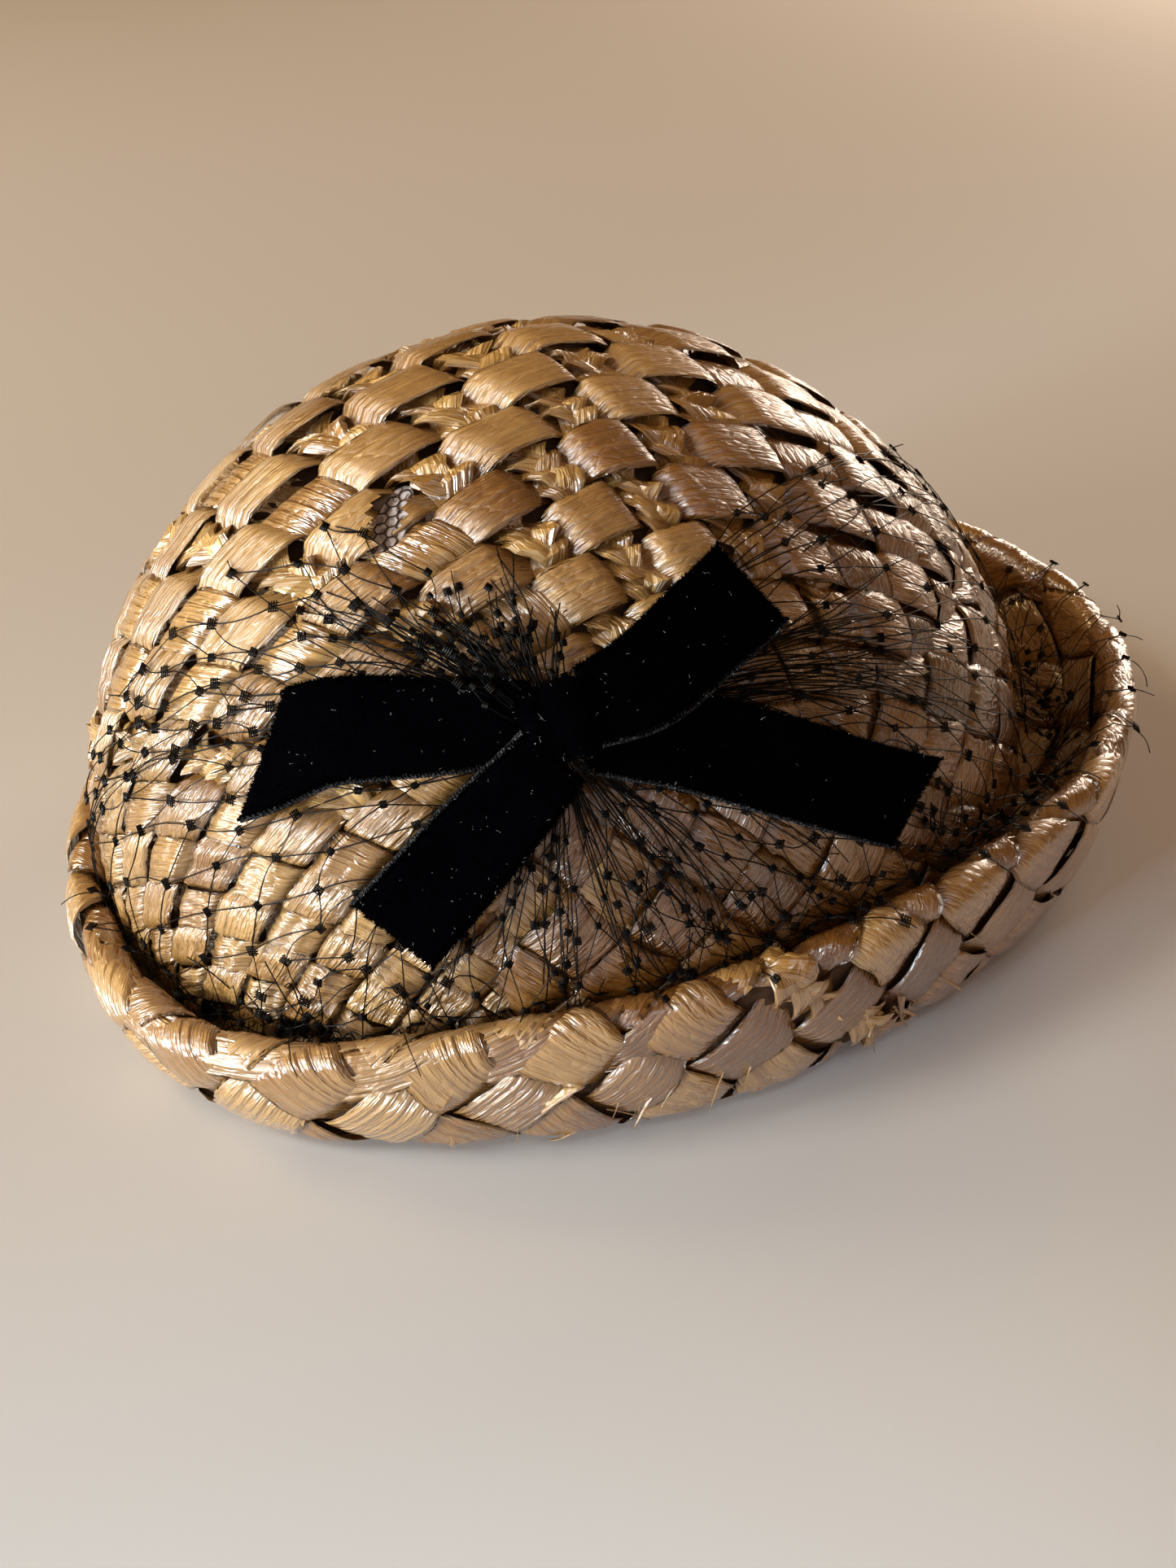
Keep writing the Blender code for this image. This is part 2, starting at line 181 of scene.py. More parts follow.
def brim_section(angle):
    """Radius and height of the brim's key points: crown side, roll, outer side, fold and underside."""
    seat, fold = plan(CROWN_R, angle) - BRIM_SEAT_MM, plan(FOLD_R, angle)
    rim, top = plan(RIM_R, angle), plan(RIM_Z, angle)
    wall = top - ROLL_MM
    middle = (fold + rim) / 2
    points = [
        (seat, BRIM_FOOT_MM), (fold - FOLD_BEND_MM, BRIM_FOOT_MM),
        (fold - BRIM_WALL_MM, FOLD_BEND_MM + 1), (middle - BRIM_WALL_MM, (FOLD_BEND_MM + wall) / 2)]
    for turn in np.radians([205.0, 180.0, 135.0, 90.0, 45.0, 0.0]):
        points.append((rim - ROLL_MM * (1 - math.cos(turn)), wall + ROLL_MM * math.sin(turn)))
    for share in (0.6, 0.3, 0.0):
        bulge = BRIM_BULGE_MM * math.sin(math.pi * share)
        points.append((fold + (rim - fold) * share + bulge, FOLD_BEND_MM + (wall - FOLD_BEND_MM) * share))
    for turn in np.radians([60.0, 30.0]):
        points.append((fold - FOLD_BEND_MM * (1 - math.sin(turn)), FOLD_BEND_MM * (1 - math.cos(turn))))
    points += [(fold - FOLD_BEND_MM, 0 * fold), (seat, 0 * fold)]
    return points


ROLL_TOP, SECTION_STEPS = 7, 320
keys = np.stack([np.stack(np.broadcast_arrays(*p), -1) for p in brim_section(AROUND)], 1)
fine = np.linspace(0, keys.shape[1] - 1, SECTION_STEPS)
low = np.minimum(fine.astype(int), keys.shape[1] - 2)
share = (fine - low)[None, :, None]
section = keys[:, low] * (1 - share) + keys[:, low + 1] * share
for _ in range(3):
    section[:, 1:-1] = (section[:, :-2] + 2 * section[:, 1:-1] + section[:, 2:]) / 4
steps = np.linalg.norm(np.diff(section, axis=1), axis=2)
length = np.concatenate([np.zeros((len(AROUND), 1)), np.cumsum(steps, 1)], 1)
length -= length[:, [int(round(ROLL_TOP / (keys.shape[1] - 1) * (SECTION_STEPS - 1)))]]
INNER_MM, OUTER_MM = length[:, 0], length[:, -1]
radius, height = (
    np.array([np.interp(ARC_MM, at, value) for at, value in zip(length, section[..., k])]) for k in (0, 1))
BRIM_TABLE = np.stack([radius * np.cos(AROUND)[:, None], radius * np.sin(AROUND)[:, None], height], -1)
spans = OUTER_MM - INNER_MM
print(f"brim, from the valley over the rim to the seat: {spans.min():.0f} to {spans.max():.0f} mm")


def at_angle(values, angle):
    """A list with a value for each row of the tables, read at any angle in straight lines."""
    return np.interp(angle % (2 * np.pi), AROUND, values)


def table_point(table, angle, column):
    """Reads a table of points between its rows (angles) and columns (lengths), in straight lines."""
    row = (angle / (2 * np.pi) * 360) % 360
    column = np.clip(column, 0, table.shape[1] - 1.001)
    i, j = row.astype(int), column.astype(int)
    s, t = (row - i)[..., None], (column - j)[..., None]
    near = table[i, j] * (1 - t) + table[i, j + 1] * t
    far = table[i + 1, j] * (1 - t) + table[i + 1, j + 1] * t
    return near * (1 - s) + far * s


def on_brim(around_mm, arc, lift):
    """Point above the brim. around_mm is the length round a circle of the mean radius. Near the
    table top the lift turns inwards, so that no straw reaches below the hat's foot."""

    def read(angle, arc):
        return table_point(BRIM_TABLE, angle, arc - ARC_MM[0])

    angle = around_mm / BRIM_MEAN_MM
    arc = np.clip(arc, at_angle(INNER_MM, angle), at_angle(OUTER_MM, angle))
    middle = read(angle, arc)
    round_it = read(angle + 0.02, arc) - read(angle - 0.02, arc)
    along_it = read(angle, arc + 1.2) - read(angle, arc - 1.2)
    outwards = unit(np.cross(along_it, round_it))
    free = np.clip(middle[..., 2] / 5.0, 0, 1)
    lift = np.where(arc > 4, lift * free - 1.9 * (1 - free), lift)
    return middle + outwards * lift[..., None]


# %% [markdown]
# ## From points to pieces
# The frame puts its origin under the middle of the hat's box. The form above is centred on the
# crown, so each point is shifted by the same vector before it becomes metres.
# Every piece is one mesh made from whole arrays: many strips, each a grid of rows and columns.

# %% Where the frame's origin is
brim_low, brim_high = (np.array(c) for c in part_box("brim"))
own_low, own_high = BRIM_TABLE.min(axis=(0, 1)), BRIM_TABLE.max(axis=(0, 1))
ORIGIN_MM = np.append(((own_low + own_high) / 2 - (brim_low + brim_high) / 2 * 1000)[:2], 0.0)
print("shift from the crown's centre to the frame's origin, mm:", ORIGIN_MM.round(2))


# %% Mesh from strips of rows and columns
def grid_piece(name, points_mm, uv_mm, material, tone=None, tube=True, keep=None):
    """One mesh from strips x rows x columns of points. A tube joins the last column to the first and
    has its two ends closed. uv_mm has one more column than a tube, so that its pattern can end there."""
    strips, rows, columns = points_mm.shape[:3]
    index = np.arange(strips * rows * columns).reshape(strips, rows, columns)
    here = index if tube else index[:, :, :-1]
    after = np.roll(index, -1, axis=2) if tube else index[:, :, 1:]
    quads = np.stack([here[:, :-1], here[:, 1:], after[:, 1:], after[:, :-1]], -1)
    u, w = uv_mm[:, :, :-1], uv_mm[:, :, 1:]
    corners = np.stack([u[:, :-1], u[:, 1:], w[:, 1:], w[:, :-1]], 3)
    quads, corners = quads.reshape(-1, 4), corners.reshape(-1, 4, 2)
    if keep is not None:
        quads, corners = quads[keep.ravel()], corners[keep.ravel()]
    points = (points_mm.reshape(-1, 3) - ORIGIN_MM) * MM
    a, b, c, d = (points[quads[:, k]] for k in range(4))
    inside_out = tube and (np.cross(c - a, d - b) * (a + b + c + d)).sum() < 0
    caps = np.concatenate([index[:, 0], index[:, -1, ::-1]]) if tube else np.zeros((0, columns), int)
    if inside_out:
        quads, corners, caps = quads[:, ::-1], corners[:, ::-1], caps[:, ::-1]
    loops = np.concatenate([quads.ravel(), caps.ravel()])
    starts = np.concatenate([np.arange(len(quads)) * 4, len(quads) * 4 + np.arange(len(caps)) * columns])
    mesh = bpy.data.meshes.new(name)
    mesh.vertices.add(len(points))
    mesh.vertices.foreach_set("co", points.ravel())
    mesh.loops.add(len(loops))
    mesh.loops.foreach_set("vertex_index", loops.astype(np.int32))
    mesh.polygons.add(len(starts))
    mesh.polygons.foreach_set("loop_start", starts.astype(np.int32))
    mesh.update(calc_edges=True)
    flat_uv = np.zeros((len(loops), 2))
    flat_uv[:len(quads) * 4] = corners.reshape(-1, 2)
    mesh.uv_layers.new(name="laid").data.foreach_set("uv", flat_uv.ravel())
    if tone is not None:
        values = np.broadcast_to(tone, points_mm.shape[:3]).astype(np.float32)
        mesh.attributes.new("tone", "FLOAT", "POINT").data.foreach_set("value", values.ravel())
    mesh.shade_smooth()
    mesh.validate()
    mesh.materials.append(material)
    piece = bpy.data.objects.new(name, mesh)
    bpy.context.scene.collection.objects.link(piece)
    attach(piece, "root")
    print(f"{name}: {strips} strips, {len(quads) * 2 + len(caps) * (columns - 2)} triangles")
    return piece


def waves(along, lengths_mm, rng):
    """Smooth noise along each strip, about -1 to 1: sines of the given wavelengths, each strip with
    its own phases and a little of its own stretch."""
    shape = (len(along), 1, len(lengths_mm))
    phase, stretch = rng.uniform(0, 2 * np.pi, shape), rng.uniform(0.8, 1.25, shape)
    return np.sin(2 * np.pi * along[..., None] * stretch / np.array(lengths_mm) + phase).mean(-1) * 1.4


def crest(phase, bias=0.0):
    """A wave with flat tops and steep sides, about -1 to 1: the hyperbolic tangent of a cosine. A bias
    makes the tops longer than the troughs."""
    return np.tanh(2.6 * (np.cos(phase) + bias)) / math.tanh(2.6)


# %% [markdown]
# ## Colours and nodes
# Colours are written as they look on a screen and turned to the linear values that light adds up
# in. One small function adds a shader node with its settings and links, and a few short ones
# call it for the nodes that come up often.

# %% Colour and node helpers
def linear(colour):
    """Linear red, green, blue and alpha of an sRGB hex colour."""
    parts = [int(colour[k:k + 2], 16) / 255 for k in (0, 2, 4)]
    return (*(c / 12.92 if c <= 0.04045 else ((c + 0.055) / 1.055) ** 2.4 for c in parts), 1.0)


def add(tree, kind, sockets=(), **settings):
    """One node: settings are its properties, sockets pair an input with a value or another's output."""
    made = tree.nodes.new(kind)
    for name, value in settings.items():
        setattr(made, name, value)
    for name, value in dict(sockets).items():
        if isinstance(value, bpy.types.NodeSocket):
            tree.links.new(value, made.inputs[name])
        else:
            made.inputs[name].default_value = value
    return made


def calc(tree, operation, *values):
    """Output of a maths node on numbers or other outputs."""
    return add(tree, "ShaderNodeMath", dict(enumerate(values)), operation=operation).outputs[0]


def noise(tree, where, scale, detail, roughness=0.5):
    """Output of a noise about 0.5, in grains of about one over the scale."""
    sockets = {"Vector": where, "Scale": scale, "Detail": detail, "Roughness": roughness}
    return add(tree, "ShaderNodeTexNoise", sockets).outputs["Fac"]


def two_colours(tree, share, first, second):
    """Output of a mix of two sRGB hex colours."""
    sockets = {"Factor": share, "A": linear(first), "B": linear(second)}
    return add(tree, "ShaderNodeMix", sockets, data_type="RGBA").outputs["Result"]


def bump(tree, height, strength, depth, under=None, **settings):
    """Normal pressed by a height: its strength, its depth in metres, and the normal under it."""
    sockets = {"Height": height, "Strength": strength, "Distance": depth}
    if under is not None:
        sockets["Normal"] = under
    return add(tree, "ShaderNodeBump", sockets, **settings).outputs[0]


def new_material(name, **shader):
    """A material's tree and its Principled shader, with plain values on the shader's own sockets."""
    made = bpy.data.materials.new(name)
    made.use_nodes = True
    principled = made.node_tree.nodes["Principled BSDF"]
    for socket, value in shader.items():
        principled.inputs[socket.replace("_", " ")].default_value = value
    return made, made.node_tree, principled


# %% [markdown]
# ## Viscose straw
# The straw is flat viscose film, cast through a slot and dyed golden tan. It is as smooth as
# cellophane, with fine lines along its length, so its highlights are long, broken streaks.
# The pattern follows each straw, so it reads the straw's own map in millimetres: fine lines 0.2 mm
# wide, ridges 1.3 mm wide, both nearly 30 mm long, and creases of about 3 by 1.3 mm. Towards the
# left of the hat, the side the windows light, the straws are more ribbed, in soft patches, and
# paler: that paleness is partly the crumpled film's own colour and partly painted light.

# %% Straw material
# Counts per mm along a straw and across it.
LINES_PER_MM, RIDGES_PER_MM, CREASES_PER_MM = (0.035, 5.0), (0.035, 0.75), (0.30, 0.75)


def straw_material(name, dark, middle, pale, roughness):
    """Lines and ridges mix three colours and press the normal, creases press it too, each straw's tone
    makes it darker or paler, and its place from left to right makes it paler and more ribbed towards
    the window-lit left, where the paleness is partly the film's own and partly painted light."""
    made, tree, principled = new_material(
        name, Roughness=roughness, IOR=2.1, Anisotropic=0.5, Anisotropic_Rotation=0.25,
        Coat_Weight=1.0, Coat_Roughness=0.055, Coat_IOR=1.6)
    laid = add(tree, "ShaderNodeUVMap", uv_map="laid").outputs["UV"]
    tone = add(tree, "ShaderNodeAttribute", attribute_name="tone").outputs["Fac"]
    fine, broad, crumpled = (
        add(tree, "ShaderNodeMapping", {"Vector": laid, "Scale": (*per_mm, 1)}).outputs[0]
        for per_mm in (LINES_PER_MM, RIDGES_PER_MM, CREASES_PER_MM))
    lines, bands = noise(tree, fine, 1.0, 5.0, 0.62), noise(tree, broad, 1.0, 3.0, 0.55)
    creases = add(
        tree, "ShaderNodeTexVoronoi", {"Vector": crumpled, "Scale": 1.0}, feature="DISTANCE_TO_EDGE")
    place = add(tree, "ShaderNodeTexCoord").outputs["Object"]
    right = add(tree, "ShaderNodeSeparateXYZ", {"Vector": place}).outputs["X"]
    # Mask towards the left, the side the windows light: it deepens the ribs and paints paler colour there,
    # partly the film's own and partly painted light.
    leftward = calc(tree, "MULTIPLY_ADD", right, -5.0, noise(tree, place, 22.0, 1.0))
    ribs_and_painted_light = add(tree, "ShaderNodeMapRange", {
        "Value": leftward, "From Min": 0.35, "From Max": 0.85, "To Min": 0.25, "To Max": 1.6}).outputs[0]
    tone_and_painted_light = calc(tree, "MULTIPLY_ADD", ribs_and_painted_light, 0.32, tone)
    shifted = calc(tree, "ADD", calc(tree, "ADD", lines, bands), tone_and_painted_light)
    pale_share = add(tree, "ShaderNodeMapRange", {"Value": shifted, "From Min": 0.70, "From Max": 2.35})
    ramp = add(tree, "ShaderNodeValToRGB", {"Fac": pale_share.outputs[0]})
    stops = ramp.color_ramp.elements
    stops[0].color, stops[1].color = linear(dark), linear(pale)
    stops.new(0.5).color = linear(middle)
    tree.links.new(ramp.outputs["Color"], principled.inputs["Base Color"])
    folded = bump(tree, calc(tree, "MINIMUM", creases.outputs["Distance"], 0.22), 0.5, 0.001)
    ridged = bump(tree, calc(tree, "MULTIPLY", bands, ribs_and_painted_light), 0.8, 0.0014, folded)
    tree.links.new(bump(tree, lines, 0.45, 0.0003, ridged), principled.inputs["Normal"])
    tree.links.new(ridged, principled.inputs["Coat Normal"])
    tangent = add(tree, "ShaderNodeTangent", direction_type="UV_MAP", uv_map="laid")
    tree.links.new(tangent.outputs[0], principled.inputs["Tangent"])
    return made


STRAW = straw_material("glossy_viscose_straw", "2E1803", "7E4C16", "CC9F5E", 0.23)
PLAIT = straw_material("plaited_viscose_straw", "361E05", "8E5E20", "D4A862", 0.2)
print("straw materials:", STRAW.name, PLAIT.name)

# %% [markdown]
# ## The weave of the crown
# Two families of straws cross on the crown. Cross straws run from left to right: they are flat,
# 11 mm wide, and arch over the long straws, which run from front to back. The five long straws in
# the middle are braids of three narrow strands from the back as far as the bow, and so are two on
# the left along their whole length; the rest are flat.
# The lattice is laid in the plane of angle and drop, with the spacings and the slant that the
# photograph shows, and leans over a little more on the left, where the straw was pulled most.

# %% Lattice of the crown
LATTICE_AT_MM = np.array([-6.7, -9.9])
LONG_STEP_MM = np.array([12.17, 0.81])
CROSS_STEP_MM = np.array([-3.85, 10.62])
LONG_PITCH_MM, CROSS_PITCH_MM = np.linalg.norm(LONG_STEP_MM), np.linalg.norm(CROSS_STEP_MM)
STRAW_THICK_MM = 0.22
LAST_COUNT = 22.0
RING = np.concatenate([np.linspace(-1, 1, 11), np.linspace(0.8, -0.8, 3)])
UNDER = np.concatenate([np.zeros(11), np.ones(3)])


def lattice_place(long, cross):
    """Angle and drop of a place counted in long straws and in cross straws."""
    pulled = np.clip(-long / 7, 0, None) ** 1.5
    long = long - 1.2 * np.tanh((cross + 1.3) / 4) * pulled
    return polar(LATTICE_AT_MM + long[..., None] * LONG_STEP_MM + cross[..., None] * CROSS_STEP_MM)


def cross_place(cross, long):
    """The same place with the cross straw's number first."""
    return lattice_place(long, cross)


FRONT_FROM, FRONT_TO, FRONT_DROP_MM = math.radians(239), math.radians(338), 84.0
FRONT_RADIUS_MM, FRONT_DEPTH_MM, FRONT_EDGE_MM = 80.0, 2.0, 5.0


def front_wall(angle, drop):
    """Distance in mm into the crown's front wall under the bow, below zero outside it."""
    angle = angle % (2 * np.pi)
    sideways = np.minimum(angle - FRONT_FROM, FRONT_TO - angle) * FRONT_RADIUS_MM
    return np.minimum(sideways, drop - FRONT_DROP_MM)


SLIT_AT_MM, SLIT_HALF_MM = np.array([-36.2, -24.9]), (6.4, 1.9)
SLIT_WAY = np.array([-0.69, -0.72])
SLIT_SIDE = np.array([-SLIT_WAY[1], SLIT_WAY[0]])


def slit_place(angle, drop):
    """Distances in mm along the torn slit and across it, from its middle."""
    away = in_plane(angle, drop) - SLIT_AT_MM
    return away @ SLIT_WAY, away @ SLIT_SIDE


def opened(angle, drop):
    """The same place with the straws pushed aside by the slit: most in its middle, less far away."""
    along, across = slit_place(angle, drop)
    gap = SLIT_HALF_MM[1] * np.clip(1 - (along / SLIT_HALF_MM[0]) ** 2, 0, 1)
    across = across + np.where(across < 0, -gap, gap) * np.exp(-np.abs(across) / 4)
    return polar(SLIT_AT_MM + along[..., None] * SLIT_WAY + across[..., None] * SLIT_SIDE)


def whole(long, cross):
    """True for the faces of strips x rows x ring that don't lie across the slit."""
    along, across = slit_place(*lattice_place(long, cross))
    ring = np.stack([across, np.roll(across, -1, axis=2)])
    low, high = ring.min(0), ring.max(0)
    spans = (np.minimum(low[:, :-1], low[:, 1:]) < 0) & (np.maximum(high[:, :-1], high[:, 1:]) > 0)
    return ~(spans & (np.abs(along[:, :-1]) < SLIT_HALF_MM[0]))


def on_crown(long, cross, lift):
    """Point above the dome at a lattice place, deeper on the front wall."""
    angle, drop = opened(*lattice_place(long, cross))
    inside = np.clip(front_wall(angle, drop) / FRONT_EDGE_MM + 0.5, 0, 1)
    return raised(angle, drop, lift - FRONT_DEPTH_MM * inside)


def runs_of(numbers, rows, place, low=-LAST_COUNT, high=LAST_COUNT):
    """Numbers of the straws that touch the dome, and evenly spaced counts along each, from where it
    enters the dome, or its low limit, to where it leaves, or its high limit."""
    probe = np.linspace(-LAST_COUNT, LAST_COUNT, 881)
    inside = place(numbers[:, None] + 0 * probe, probe + 0 * numbers[:, None])[1] < BASE_DROP_MM - 1
    first = np.maximum(probe[inside.argmax(1)], low)
    last = np.minimum(probe[-1 - inside[:, ::-1].argmax(1)], high)
    real = (inside.sum(1) > 12) & (last - first > 0.8)
    count = first[:, None] + (last - first)[:, None] * np.linspace(0, 1, rows)
    return numbers[real], count[real]


def flat_ring(along, half, lift, arch, crease, rng):
    """Offsets across and heights of flat straws, strips x rows x ring. The top is a low arch with
    lengthwise folds, sums of sines that drift along the straw; the underside is the arch alone."""
    strips = len(along)
    turns, phase = rng.uniform(1.5, 6.5, (strips, 1, 1, 5)), rng.uniform(0, 6.28, (strips, 1, 1, 5))
    drift = np.stack([waves(along, [23.0, 61.0], rng) for _ in range(5)], -1)[:, :, None] * 1.6
    waved = np.sin(turns * RING[None, None, :, None] + phase + drift)
    folds = (1 - 2 * np.abs(waved)).mean(-1) * (1 - 0.5 * RING**2) * (1 - UNDER)
    arched = arch[..., None] * (1 - np.abs(RING) ** 2.6)
    height = lift[..., None] + arched + crease[..., None] * folds - UNDER * STRAW_THICK_MM
    return RING * half[..., None], height


def ring_uv(along, offset):
    """Map of a ring in mm: along the straw, and across it, with the last column joined to the first."""
    across = np.concatenate([offset, offset[..., :1]], -1)
    return np.stack([np.broadcast_to(along[..., None], across.shape), across], -1)


def straw_tones(along, low, high, drift, rng):
    """A tone of its own for each straw, between two limits, that drifts a little along it."""
    own = rng.uniform(low, high, len(along))[:, None, None]
    return own + drift * waves(along, [26.0, 60.0], rng)[..., None]


# %% Flat straws of the crown
MIDDLE_BRAIDS, SIDE_BRAIDS = (-2, -1, 0, 1, 2), (-7, -4)
BRAIDS_END = -5.4


def crown_flats(name, numbers, count, cross, rng):
    """One family of flat straws. They are over where the two numbers add up to an even number (cross
    straws) or an odd one (long straws). Near the foot they are more crumpled."""
    pitch_mm, step_mm = (CROSS_PITCH_MM, LONG_PITCH_MM) if cross else (LONG_PITCH_MM, CROSS_PITCH_MM)
    along = count * step_mm
    wave = crest(np.pi * (count + numbers[:, None] + (0 if cross else 1)), 0.3 if cross else -0.05)
    over = (1 + wave) / 2
    places = (count, numbers[:, None] + 0 * count) if cross else (numbers[:, None] + 0 * count, count)
    drop = lattice_place(*places)[1]
    low_down = np.clip((drop - 55) / 50, 0, 1)
    half = pitch_mm / 2 * (0.78 + 0.20 * over) * (1 + 0.05 * waves(along, [17.0, 40.0], rng))
    lift = 0.2 + 1.4 * wave + 0.25 * waves(along, [31.0, 55.0], rng)
    lift = lift + 1.0 * over * np.clip((70 - drop) / 15, 0, 1) * cross
    crease = 0.16 + 0.30 * (1 - over) + 0.36 * low_down
    offset, height = flat_ring(along, half, lift, 0.12 + 0.40 * over, crease, rng)
    height = height + (0.30 * low_down * waves(along, [3.7, 5.9, 9.1], rng))[..., None]
    number = numbers[:, None, None] + 0.04 * waves(along, [47.0, 83.0], rng)[..., None] + offset / pitch_mm
    far = count[..., None] + 0 * offset
    long, crossing = (far, number) if cross else (number, far)
    tone = straw_tones(along, 0.25, 0.75, 0.14, rng)
    points = on_crown(long, crossing, height)
    return grid_piece(name, points, ring_uv(along, offset), STRAW, tone, keep=whole(long, crossing))


rng = np.random.default_rng(7)
numbers, count = runs_of(np.arange(-15, 16), 150, cross_place)
crown_cross_straws = crown_flats("crown_cross_straws", numbers, count, True, rng)
numbers = np.array([n for n in range(-12, 13) if n not in SIDE_BRAIDS])
high = np.where(np.isin(numbers, MIDDLE_BRAIDS), BRAIDS_END, LAST_COUNT)
numbers, count = runs_of(numbers, 150, lattice_place, high=high)
crown_straws = crown_flats("crown_straws", numbers, count, False, rng)


# %% Braids of the crown
def braid_rings(along, lift, side_mm, half_mm, thick_mm, pitch_mm, rng, sides=8):
    """Three strands each, braids x 3 strands as strips. A strand swings from side to side as a sine,
    a third of a turn after the one before, and dips twice in each swing. Its section is a flat,
    crumpled oval, and it rolls as it turns at the edge."""
    third = np.tile(np.arange(3) * 2 * np.pi / 3, len(along))[:, None]
    along, lift = np.repeat(along, 3, axis=0), np.repeat(lift, 3, axis=0)
    turn = 2 * np.pi * along / pitch_mm + third + 0.4 * waves(along, [29.0], rng)
    swing = side_mm * np.sin(turn) * (1 + 0.12 * waves(along, [19.0], rng))
    dip = 0.55 * thick_mm * np.sin(2 * turn)
    roll = 0.32 * np.cos(turn) + 0.18 * waves(along, [9.0, 14.0], rng)
    around = np.arange(sides) / sides * 2 * np.pi
    crumple = 1 + 0.22 * rng.uniform(-1, 1, (*along.shape, sides))
    wide = half_mm * (1 + 0.14 * waves(along, [7.0, 11.5], rng))[..., None] * np.cos(around) * crumple
    thick = thick_mm / 2 * np.sin(around) * crumple
    offset = swing[..., None] + wide * np.cos(roll)[..., None] - thick * np.sin(roll)[..., None]
    height = (lift + dip)[..., None] + wide * np.sin(roll)[..., None] + thick * np.cos(roll)[..., None]
    girth = np.linspace(0, 4 * half_mm, sides + 1)
    uv = np.stack(np.broadcast_arrays(along[..., None], girth), -1)
    return offset, height, uv


numbers = np.array(MIDDLE_BRAIDS + SIDE_BRAIDS)
low = np.where(np.isin(numbers, MIDDLE_BRAIDS), BRAIDS_END - 0.6, -LAST_COUNT)
numbers, count = runs_of(numbers, 120, lattice_place, low=low)
along = count * CROSS_PITCH_MM
wave = -crest(np.pi * (count + numbers[:, None]), 0.3)
offset, height, uv = braid_rings(along, 0.75 * wave, 2.1, 2.8, 1.6, 17.0, rng)
count3, numbers3 = np.repeat(count, 3, axis=0)[..., None], np.repeat(numbers, 3)[:, None, None]
long, crossing = numbers3 + offset / LONG_PITCH_MM, count3 + 0 * offset
tone = rng.uniform(0.3, 0.8, len(long))[:, None, None]
points = on_crown(long, crossing, height)
crown_braids = grid_piece("crown_braids", points, uv, PLAIT, tone, keep=whole(long, crossing))
crown_braids.data.shade_flat()

# %% [markdown]
# ## The front wall of the crown
# Under the bow the straw turns: its two families cross on the slant there, in wider straws. They
# lie over the lattice, which is 2 mm deeper at this place, and dive under it at the edges.

# %% Slanting straws of the front wall
SLANT = math.sqrt(0.5)
FRONT_STEP_MM, FRONT_MIDDLE_MM = 18.5, 118.0


def front_straws(name, way, rng):
    """Straws that climb to the left (way 1) or to the right (way -1), kept inside the front wall."""
    numbers = np.arange(-3, 12) + (0 if way > 0 else 0.5)
    down = np.linspace(-38, 34, 90) + 0 * numbers[:, None]
    along = down / SLANT
    wave = way * crest(np.pi * (down / (FRONT_STEP_MM / 2) - 0.5))
    over = (1 + wave) / 2
    half = 6.6 * (0.84 + 0.16 * over) * (1 + 0.07 * waves(along, [17.0, 41.0], rng))
    lift, arch, crease = 0.35 + 0.85 * wave, 0.12 + 0.35 * over, 0.35 + 0.25 * (1 - over)
    offset, height = flat_ring(along, half, lift, arch, crease, rng)
    across = offset + 1.2 * waves(along, [37.0, 71.0], rng)[..., None]
    around = numbers[:, None, None] * FRONT_STEP_MM + way * down[..., None] - way * across * SLANT
    angle = FRONT_FROM + around / FRONT_RADIUS_MM
    drop = FRONT_MIDDLE_MM + down[..., None] + across * SLANT
    inside = front_wall(angle, drop)
    height = height - FRONT_DEPTH_MM * np.clip(1 - inside / FRONT_EDGE_MM, 0, 1)
    middle = (inside[:, :-1] + inside[:, 1:]) / 2
    tone = straw_tones(along, 0.0, 0.5, 0.14, rng)
    points = raised(angle, drop, height)
    return grid_piece(name, points, ring_uv(along, offset), STRAW, tone, keep=middle > -1)


front_right = front_straws("front_straws_right", 1, rng)
front_left = front_straws("front_straws_left", -1, rng)

# %% [markdown]
# ## The weave of the brim
# On the brim the same straws run on the slant, up the outside, over the rolled rim and down into
# the valley. Two families cross at right angles, both at 45 degrees to the rim. A straw's number
# gives its place round the rim, and where the two families meet follows from the length alone.

# %% Slanting straws of the brim
BRIM_STRAWS = 28
BRIM_BRAID = 21
BRIM_STEP_MM = 2 * np.pi * BRIM_MEAN_MM / BRIM_STRAWS


def brim_straws(name, way, rng):
    """Straws that climb to the right (way 1) or to the left (way -1)."""
    numbers = np.array([n for n in range(BRIM_STRAWS) if way < 0 or n != BRIM_BRAID])
    numbers = numbers + (0 if way > 0 else 0.5)
    arc = np.linspace(-70, 64, 100) + 0 * numbers[:, None]
    along = arc / SLANT
    wave = way * crest(np.pi * (arc / (BRIM_STEP_MM / 2) - 0.5))
    over = (1 + wave) / 2
    half = 7.6 * (0.77 + 0.17 * over) * (1 + 0.08 * waves(along, [17.0, 41.0], rng))
    lift = -0.1 + 1.05 * wave + 0.2 * waves(along, [31.0, 55.0], rng)
    offset, height = flat_ring(along, half, lift, 0.15 + 0.25 * over, 0.22 + 0.25 * (1 - over), rng)
    sway = 1.3 * waves(along, [37.0, 71.0], rng)
    across = offset + sway[..., None]
    points = on_brim(
        numbers[:, None, None] * BRIM_STEP_MM + way * arc[..., None] - way * across * SLANT,
        arc[..., None] + across * SLANT, height)
    tone = straw_tones(along, 0.25, 0.8, 0.12, rng)
    return grid_piece(name, points, ring_uv(along, offset), STRAW, tone)


rng = np.random.default_rng(11)
brim_right = brim_straws("brim_straws_right", 1, rng)
brim_left = brim_straws("brim_straws_left", -1, rng)
